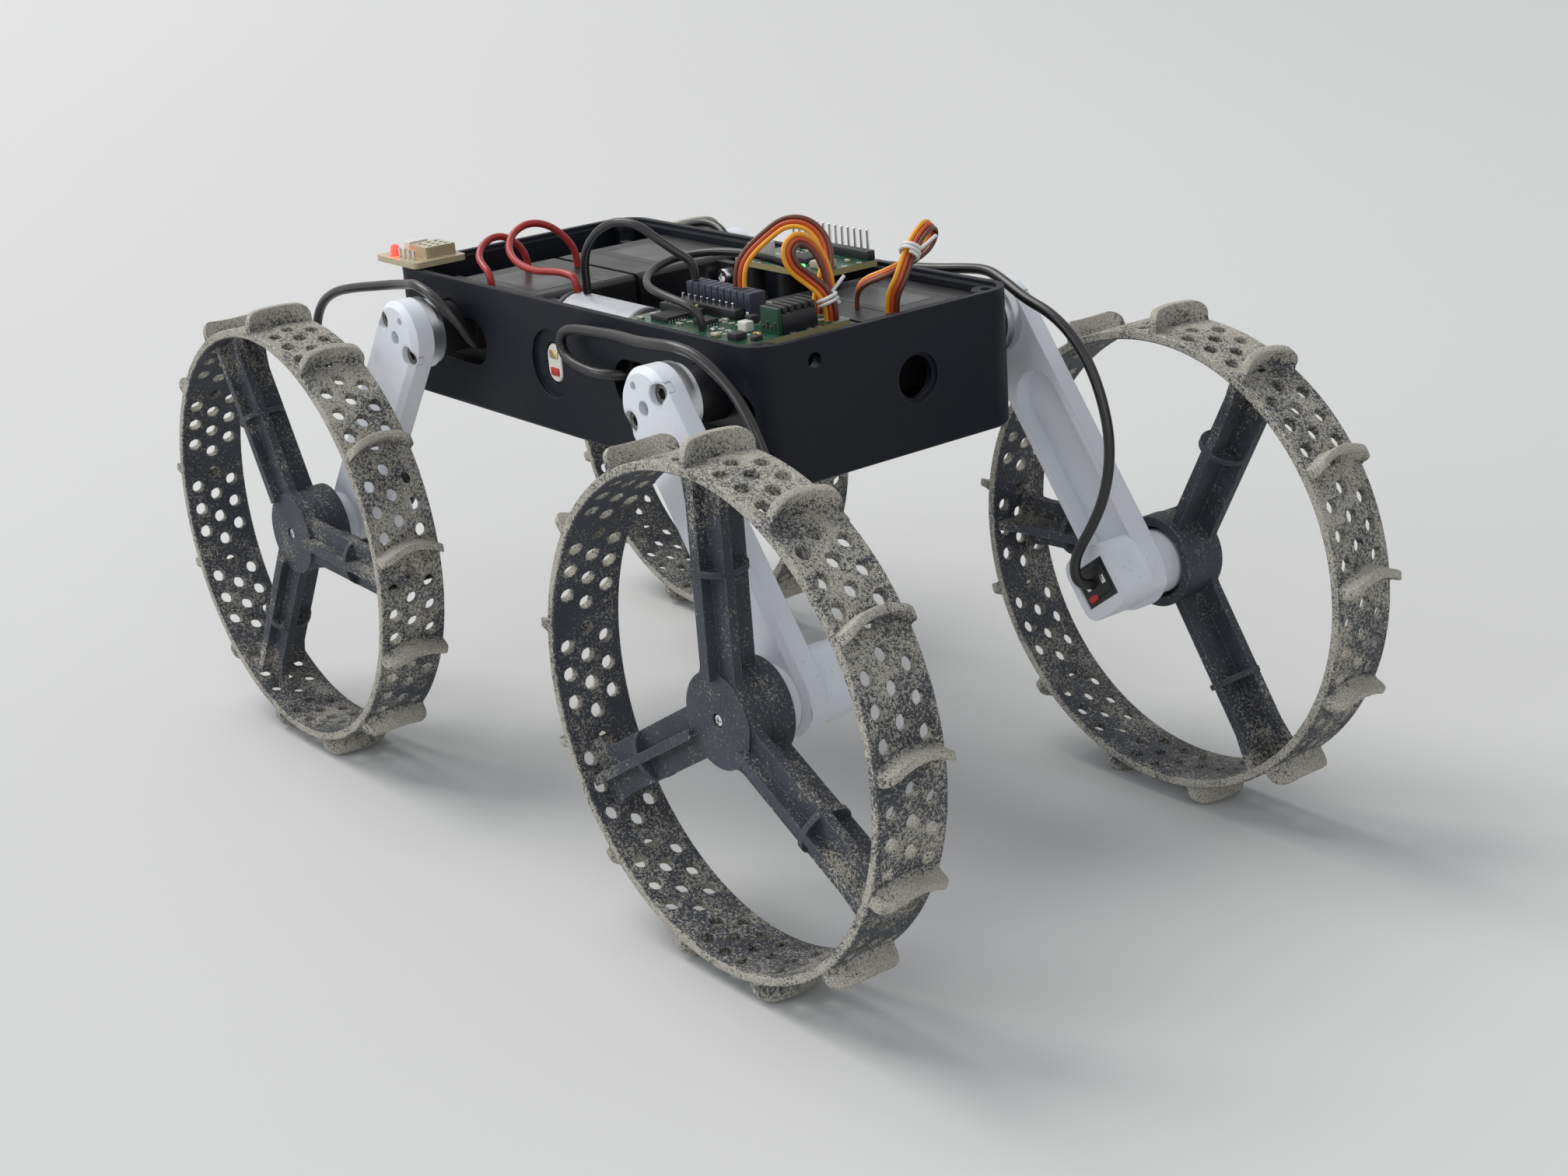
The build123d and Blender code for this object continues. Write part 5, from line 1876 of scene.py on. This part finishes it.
RIBBON: Sequence[Finish] = (WIRE_YELLOW, WIRE_ORANGE, WIRE_BROWN)
TRAY_LEADS: List[TrayLead] = [
    TrayLead("servo_lead_a", [
        (66.2, -8.8, 135.95), (66.2, -8.8, 139.6), (64.6, -9.6, 143.2), (62.2, -12.2, 146.2),
        (60.6, -15.4, 149.4), (60.2, -16.2, 153.6), (60.8, -13.6, 156.2), (61.6, -10.0, 154.4),
        (62.2, -7.4, 150.4), (62.6, -6.0, 145.4), (62.8, -5.8, 140.4), (62.8, -5.8, 135.95),
    ], RIBBON, 0.62, "lead_yellow", ties=(0.09,)),
    TrayLead("servo_lead_b", [
        (58.6, -6.4, 135.95), (58.6, -6.4, 139.8), (57.8, -3.6, 143.8), (56.0, -0.6, 148.2),
        (53.2, 0.4, 153.0), (49.6, -1.6, 156.6), (45.6, -5.2, 156.8), (42.8, -8.8, 153.6),
        (41.2, -13.0, 150.4), (40.8, -16.2, 146.6), (40.8, -16.2, 142.15),
    ], RIBBON, 0.62, "lead_yellow"),
    TrayLead("servo_lead_c", [
        (66.0, 10.4, 134.05), (66.0, 10.4, 138.0), (67.8, 12.0, 142.2), (67.4, 14.6, 146.6),
        (66.0, 19.0, 150.6), (65.0, 24.2, 153.6), (63.4, 27.6, 151.4), (62.2, 26.4, 147.2),
        (61.8, 21.6, 144.8), (62.0, 16.4, 143.6), (60.8, 12.0, 142.4), (57.6, 9.6, 141.0),
        (54.2, 9.2, 138.2), (54.2, 9.2, 134.05),
    ], RIBBON, 0.62, "lead_yellow", ties=(0.24,)),
    TrayLead("black_lead_arch", [
        (-9.0, -28.0, 136.3), (-9.0, -28.0, 139.8), (-7.6, -29.0, 144.4), (-4.6, -29.8, 149.2),
        (0.4, -29.6, 153.8), (6.8, -28.2, 156.8), (12.8, -26.0, 156.4), (17.2, -23.4, 152.8),
        (20.8, -20.0, 149.0), (23.6, -17.0, 146.2), (23.6, -17.0, 142.15),
    ], (WIRE_BLACK,), 1.1, "lead_black"),
    TrayLead("black_lead_loop", [
        (47.0, -33.0, 135.95), (47.0, -33.0, 139.2), (43.4, -34.2, 141.6), (38.0, -35.0, 142.6),
        (31.2, -34.6, 143.2), (24.4, -32.4, 143.6), (18.6, -28.2, 144.2), (14.6, -22.6, 145.0),
        (14.4, -16.6, 146.2), (18.6, -11.6, 147.2), (25.0, -8.6, 147.8), (32.0, -5.6, 147.4),
        (38.6, -1.8, 145.6), (43.4, 2.8, 142.4), (46.4, 7.4, 138.2), (46.4, 7.4, 134.05),
    ], (WIRE_BLACK,), 1.0, "lead_black"),
    TrayLead("red_lead_long", [
        (-50.5, -3.5, 134.05), (-50.5, -3.5, 138.2), (-51.6, -6.0, 142.6), (-53.4, -10.0, 146.4),
        (-55.0, -15.0, 147.6), (-55.0, -20.0, 146.0), (-51.6, -24.4, 143.4), (-45.6, -27.4, 141.4),
        (-38.0, -29.2, 140.2), (-30.2, -29.8, 139.8), (-23.0, -29.0, 140.5), (-18.0, -28.4, 140.6),
        (-13.6, -28.0, 139.8), (-13.6, -28.0, 136.3),
    ], (WIRE_RED,), 1.0, "lead_red"),
    TrayLead("red_lead_short", [
        (-58.5, -14.5, 134.05), (-58.5, -14.5, 137.6), (-59.4, -16.4, 141.4), (-60.4, -20.0, 144.2),
        (-60.4, -24.4, 144.4), (-59.0, -28.6, 142.6), (-55.6, -31.6, 140.6), (-51.0, -33.0, 139.2),
        (-47.6, -33.2, 137.4), (-47.6, -33.2, 134.05),
    ], (WIRE_RED,), 1.0, "lead_red"),
]


# Electronics


@dataclass
class Electronics:
    """What sits on the boards: header pins, housings, chips, lamps and screws."""

    pitch: float = 2.54
    pin_side: float = 0.64
    leg_pitch: float = 0.9
    leg_width: float = 0.36
    leg_high: float = 0.35
    housings: int = 10
    battery_end: float = 3.4
    battery_lap: float = 0.4
    servo_ends: Tuple[float, float] = (27.0, 67.7)

    def build(self) -> None:
        """Make the pieces one after the other."""
        self.connector_row()
        self.main_board_parts()
        self.driver_module()
        self.controller_parts()
        self.battery()
        self.indicator()
        self.plug()
        self.servo_shells()
        self.corner_rings()

    def place(self, carver: Carver, name: str, words: str, slot: str,
              replaced: Sequence[str] = ()) -> None:
        """Turn a finished carver into a piece of the chassis.

        Args:
            carver: The work.
            name: The piece's name.
            words: What it is, for the log.
            slot: Not used.
            replaced: The nodes that it stands for.
        """
        made = carver.to_object(name)
        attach(made, "chassis")
        if replaced:
            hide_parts(*replaced)
        report(made, words)

    def pin_row(self, carver: Carver, start: Point, count: int, length: float,
                finish: Finish = PIN_BRASS) -> None:
        """Add a row of square header pins along the rover.

        Args:
            carver: The work.
            start: The foot of the first pin, in millimetres.
            count: How many there are.
            length: How tall they are.
            finish: Their finish.
        """
        x, y, low = start
        size = (self.pin_side, self.pin_side, length)
        for index in range(count):
            carver.seat(x + index * self.pitch, y, low, size, finish, 0.12, 1)

    def chip_legs(self, carver: Carver, start: Point, reach: float, count: int,
                  length: float) -> None:
        """Add the bright legs along both sides of a chip.

        Args:
            carver: The work.
            start: The chip's middle along X, its first leg along Y and the board's top.
            reach: How far the legs' middles are from the chip's middle, in millimetres.
            count: How many legs each side has.
            length: How long they are.
        """
        x, y, low = start
        size = (length, self.leg_width, self.leg_high)
        for side in (-1, 1):
            for index in range(count):
                carver.seat(x + side * reach, y + index * self.leg_pitch, low, size,
                            BRIGHT_STEEL, 0.05, 1)

    def connector_row(self) -> None:
        """The row of plug housings with slots of painted shade and white feet, and a pin header."""
        carver = Carver()
        top = PLAN.board_top
        low_x, high_x, near_y, far_y = 22.0, 48.0, -19.0, -13.8
        width = (high_x - low_x) / self.housings
        # Painted shade: a thin black plate on each housing's face stands for its dark slot
        # Inset, near and far face, foot, top, finish and edge of what one housing has
        parts = ((0.14, near_y + 0.05, far_y - 0.05, 0.0, 6.2, HOUSING_SLATE, 0.3),
                 (0.7, near_y - 0.02, near_y + 0.2, 2.8, 5.0, CHIP_BLACK, 0.08),
                 (0.75, near_y - 0.12, near_y + 0.2, 0.5, 1.6, TIE_WHITE, 0.1))
        for index in range(self.housings):
            x = low_x + index * width
            for inset, near, far, foot, high, finish, edge in parts:
                carver.block((x + inset, near, top + foot), (x + width - inset, far, top + high),
                             finish, edge)
        base_y = near_y - 3.3
        carver.block((22.0, base_y, top), (46.0, base_y + 3.0, top + 2.5), CONNECTOR_BLACK,
                     edge=0.3)
        self.pin_row(carver, (23.2, base_y + 1.5, top + 2.3), 9, 1.5, BRIGHT_STEEL)
        self.place(carver, "connector_row_dressed", "plug housings and header",
                   "connector_black", ("connector_row",))

    def main_board_parts(self) -> None:
        """Chips, small parts and a pin header on the main board."""
        carver = Carver()
        top = PLAN.board_top
        for x, y, wide, deep, high in (
                (30.0, -30.0, 7.0, 7.0, 1.2), (42.5, -28.5, 5.0, 4.0, 1.4),
                (51.0, -8.4, 4.2, 3.2, 1.1), (33.0, -8.0, 6.2, 4.2, 1.3)):
            carver.seat(x, y, top, (wide, deep, high), CHIP_BLACK, 0.12)
            self.chip_legs(carver, (x, y - deep / 2 + 0.5, top), wide / 2 + 0.175,
                           int(deep / self.leg_pitch), 0.35)
        for x, y in ((24.6, -35.0), (38.0, -33.0), (56.5, -31.0), (56.0, -12.5), (44.0, -23.6)):
            carver.seat(x, y, top, (1.6, 0.9, 0.6), BEIGE_BLOCK, 0.1, 1)
            for side in (-1, 1):
                carver.seat(x + side * 0.8, y, top, (0.44, 0.94, 0.63), BRIGHT_STEEL, 0.05, 1)
        for x, y, size, finish in (
                (61.0, -33.2, (3.4, 3.4, 1.6), CHIP_BLACK),
                (54.6, -34.6, (2.4, 1.6, 0.8), BEIGE_BLOCK),
                (56.4, -27.0, (3.2, 2.6, 2.4), CONNECTOR_WHITE),
                (62.6, -28.4, (2.2, 1.4, 0.9), PIN_BRASS),
                (65.6, -31.0, (1.6, 2.6, 1.0), CHIP_BLACK),
                (50.6, -20.6, (2.6, 2.6, 1.8), CHIP_BLACK),
                (53.8, -12.6, (3.4, 2.4, 2.2), CONNECTOR_WHITE),
                (49.4, -31.8, (1.6, 0.9, 0.6), BRIGHT_STEEL)):
            carver.seat(x, y, top, size, finish, 0.2)
        self.pin_row(carver, (23.2, -26.0, top - 0.2), 6, 3.6)
        carver.block((21.9, -27.3, top), (37.2, -24.8, top + 2.4), CONNECTOR_BLACK, edge=0.2)
        self.place(carver, "main_board_parts", "chips and pins of the main board",
                   "connector_black")

    def driver_module(self) -> None:
        """The black power module with its ribs and the small board beside it."""
        carver = Carver()
        low = PLAN.board_top
        rear, front, right, left = 59.5, 67.0, -24.0, -13.5
        carver.block((rear, right, low), (front, left, low + 4.6), CONNECTOR_BLACK, edge=0.3)
        for index in range(5):
            y = right + 0.5 + index * 2.1
            carver.block((rear + 0.2, y, low + 4.3), (front - 0.2, y + 1.1, low + 6.4),
                         CONNECTOR_BLACK, edge=0.2)
        carver.block((rear + 0.4, right - 1.2, low), (front - 0.4, right - 0.05, low + 6.2),
                     MODULE_GREEN, edge=0.1, steps=1)
        for index in range(4):
            x = rear + 1.0 + index * 1.5
            carver.block((x, right - 1.45, low + 1.0), (x + 0.8, right - 1.1, low + 1.8 + index % 2),
                         CHIP_BLACK, edge=0.08, steps=1)
        self.place(carver, "driver_module_dressed", "power module", "connector_black",
                   ("driver_module",))

    def controller_parts(self) -> None:
        """Pins, a white socket and chips on the controller board."""
        carver = Carver()
        top = PLAN.controller_top
        carver.block((-0.9, 32.0, top), (32.0, 34.5, top + 2.4), CONNECTOR_BLACK, edge=0.2)
        self.pin_row(carver, (0.4, 33.2, top + 2.2), 13, 5.6, BRIGHT_STEEL)
        carver.block((3.0, 15.4, top), (8.4, 20.4, top + 4.6), CONNECTOR_WHITE, edge=0.35)
        carver.block((3.8, 16.2, top + 4.3), (7.6, 19.6, top + 4.75), CHIP_BLACK, edge=0.15)
        carver.block((14.0, 20.5, top), (21.0, 27.5, top + 1.3), CHIP_BLACK, edge=0.15)
        self.chip_legs(carver, (17.5, 21.2, top), 3.75, 7, 0.6)
        carver.block((26.0, 17.5, top), (31.0, 22.5, top + 2.0), BEIGE_BLOCK, edge=0.3)
        for x, y in ((11.0, 17.5), (24.0, 25.0), (10.5, 29.5), (28.5, 28.0)):
            carver.seat(x, y, top, (1.6, 0.9, 0.7), BEIGE_BLOCK, 0.1, 1)
        carver.block((22.6, 16.4, top), (24.2, 17.6, top + 0.8), GREEN_LAMP, edge=0.2)
        # The white socket takes the fourth screw's place
        for x, y in ((16.0, 17.5), (3.0, 31.5), (16.0, 31.5)):
            carver.lathe([(0.0, 1.3), (0.5, 1.4), (1.0, 1.1), (1.15, 0.5)], BRIGHT_STEEL, 16,
                         Matrix.Translation((x, y, top)))
        self.place(carver, "controller_parts", "pins, socket and chips of the controller",
                   "connector_black")

    def battery(self) -> None:
        """The cell pack: a silver sleeve between black end caps."""
        carver = Carver()
        rear, front, y, half = -17.0, 19.3, -28.0, 7.9
        low, high = 104.643, 136.043
        outline = slot_outline(half, low + half, high - half, 14)
        # The section lies across X, so the prism's height runs along X
        place = Matrix(((0.0, 0.0, 1.0, 0.0), (1.0, 0.0, 0.0, y), (0.0, 1.0, 0.0, 0.0),
                        (0.0, 0.0, 0.0, 1.0)))
        sleeve = self.battery_end - self.battery_lap
        for start, end, finish, edge in (
                (rear + sleeve, front - sleeve, CELL_SLEEVE, 0.5),
                (rear, rear + self.battery_end, CHIP_BLACK, 0.9),
                (front - self.battery_end, front, CHIP_BLACK, 0.9)):
            carver.prism(outline, start, end, finish, place, edge)
        self.place(carver, "battery_cell_dressed", "cell pack in its sleeve", "cell_silver",
                   ("battery_cell",))

    def indicator(self) -> None:
        """Beige block with holes of painted shade, lamp, socket and pins on the small corner board.
        """
        carver = Carver()
        low = 138.743
        carver.block((-85.5, -35.25, low - 0.02), (-76.5, -26.25, low + 3.0), BEIGE_BLOCK,
                     edge=0.3)
        # Painted shade: thin black discs at the block's top stand for its dark holes
        for row in range(3):
            for column in range(3):
                spot = (-83.5 + row * self.pitch, -33.3 + column * self.pitch, low + 2.9)
                carver.lathe([(0.0, 0.53), (0.02, 0.55), (0.12, 0.55), (0.14, 0.53)], CHIP_BLACK,
                             10, Matrix.Translation(spot))
        carver.lathe([(0.0, 1.6), (0.6, 1.6), (0.7, 1.4), (2.2, 1.35), (2.9, 0.9), (3.1, 0.3)],
                     RED_LAMP, 20, Matrix.Translation((-89.4, -38.2, low)))
        carver.block((-93.6, -33.0, low), (-90.2, -27.0, low + 2.6), CONNECTOR_WHITE, edge=0.3)
        self.pin_row(carver, (-86.0, -38.6, low), 4, 2.6, BRIGHT_STEEL)
        self.place(carver, "indicator_parts", "lamp and socket of the corner board",
                   "connector_black")

    def plug(self) -> None:
        """The small three-coloured plug that fills the slot in the right side."""
        carver = Carver()
        x, z = -9.0, 120.443
        place = Matrix(((1.0, 0.0, 0.0, x), (0.0, 0.0, -1.0, 0.0), (0.0, 1.0, 0.0, z),
                        (0.0, 0.0, 0.0, 1.0)))
        carver.prism(slot_outline(3.2, -1.9, 1.9, 12), 37.3, 40.0, CONNECTOR_WHITE, place,
                     edge=0.4)
        for foot, finish in ((1.2, PIN_BRASS), (-3.4, RED_PLASTIC)):
            carver.block((x - 1.9, -40.3, z + foot), (x + 1.9, -39.6, z + foot + 2.2), finish,
                         edge=0.3)
        self.place(carver, "slot_plug_dressed", "plug in the side slot", "plug_white",
                   ("slot_plug",))

    def servo_shells(self) -> None:
        """The case halves, blank labels, marks and ear screws of the four leg servos."""
        carver = Carver()
        top = PLAN.servo_top
        for corner in Corner:
            side = corner.side
            rear, front = sorted(corner.end * x for x in self.servo_ends)
            for near, far in ((0.9, 10.2), (10.5, 30.8), (31.1, 37.4)):
                low, high = sorted((side * near, side * far))
                carver.block((rear + 1.3, low, top - 0.6), (front - 1.3, high, top + 0.12),
                             SERVO_CASE, edge=0.12, steps=1)
            low, high = sorted((side * 13.4, side * 27.6))
            carver.block((rear + 8.0, low, top - 0.2), (front - 6.0, high, top + 0.2),
                         LABEL_GREY, edge=0.06, steps=1)
            low, high = sorted((side * 37.2, side * 37.85))
            mark = corner.end * 45.5
            carver.block((mark - 0.8, low, 118.0), (mark + 0.8, high, 122.6), LABEL_RED,
                         edge=0.2)
            # The ear screws' heads face the rover's middle
            for along in (-24.2, 24.2):
                for up in (-5.0, 5.0):
                    place = Matrix(((1.0, 0.0, 0.0, (rear + front) / 2 + along),
                                    (0.0, 0.0, -float(side), side * 27.3),
                                    (0.0, float(side), 0.0, PLAN.pivot_z + up),
                                    (0.0, 0.0, 0.0, 1.0)))
                    carver.socket_screw(2.4, 1.9, 1.1, 1.0, BRIGHT_STEEL, place)
        self.place(carver, "servo_shells", "case halves and screws of the servos",
                   "servo_black")

    def corner_rings(self) -> None:
        """The rings on the tray's four corner posts, with their screw holes."""
        carver = Carver()
        for x in (72.7, -82.1):
            for y in (-35.4, 35.4):
                carver.lathe([(134.2, 3.9), (135.8, 3.9), (136.1, 3.6), (136.1, 1.75),
                              (135.8, 1.5), (134.9, 1.5)], TRAY_PLASTIC, 36,
                             Matrix.Translation((x, y, 0.0)))
        self.place(carver, "corner_rings", "screw rings of the tray's corners", "tray_black")


NODE_FINISHES: Dict[str, Finish] = {
    "tray": TRAY_PLASTIC,
    "servo": SERVO_CASE,
    "leg": LEG_PLASTIC,
    "horn": HORN_METAL,
    "horn_screws": SCREW_STEEL,
    "wheel_motor": SERVO_CASE,
    "wheel_shaft": BRIGHT_STEEL,
    "main_board": BOARD_GREEN,
    "controller_board": BOARD_GREEN,
    "indicator_board": BOARD_BEIGE,
    "board_posts": CONNECTOR_BLACK,
}


def dress_kept_nodes(names: Iterable[str]) -> None:
    """Give the CAD nodes that stay their finishes.

    Args:
        names: The nodes.
    """
    for name in names:
        stem = name
        for corner in Corner:
            stem = stem.removesuffix("_" + corner.tag)
        if stem not in NODE_FINISHES:
            continue
        node = bpy.data.objects[name]
        node.data.materials.clear()
        node.data.materials.append(NODE_FINISHES[stem].material())
        LOG.info("%s: kept, in %s", name, NODE_FINISHES[stem].name)


WHEEL_TURNS: Dict[Corner, int] = {
    Corner.FRONT_RIGHT: 1, Corner.REAR_RIGHT: 2, Corner.FRONT_LEFT: 0, Corner.REAR_LEFT: 1}
LEG_ROUTES: Dict[Corner, List[Point]] = {
    Corner.FRONT_RIGHT: LEG_CLOSE, Corner.REAR_RIGHT: LEG_LONG_BOW,
    Corner.FRONT_LEFT: LEG_BOW, Corner.REAR_LEFT: LEG_BOW}


class Rover:
    """The whole rover, built sub-assembly by sub-assembly."""

    def build(self, names: Iterable[str]) -> None:
        """Build every piece.

        Args:
            names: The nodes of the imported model.
        """
        for corner in Corner:
            LegCable(corner, LEG_ROUTES[corner]).build()
        for lead in TRAY_LEADS:
            lead.build()
        for corner in Corner:
            Wheel(corner, WHEEL_TURNS[corner]).build()
            LegFittings(corner).build()
        Electronics().build()
        dress_kept_nodes(names)


def main() -> None:
    """Build the rover's pieces in order and dress the nodes that stay."""
    logging.basicConfig(level=logging.INFO, format="%(name)s: %(message)s")
    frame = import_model()
    Studio().build()
    Rover().build(frame["nodes"])
    view = bpy.context.scene.view_settings
    view.view_transform = "Standard"


if __name__ == "__main__":
    main()
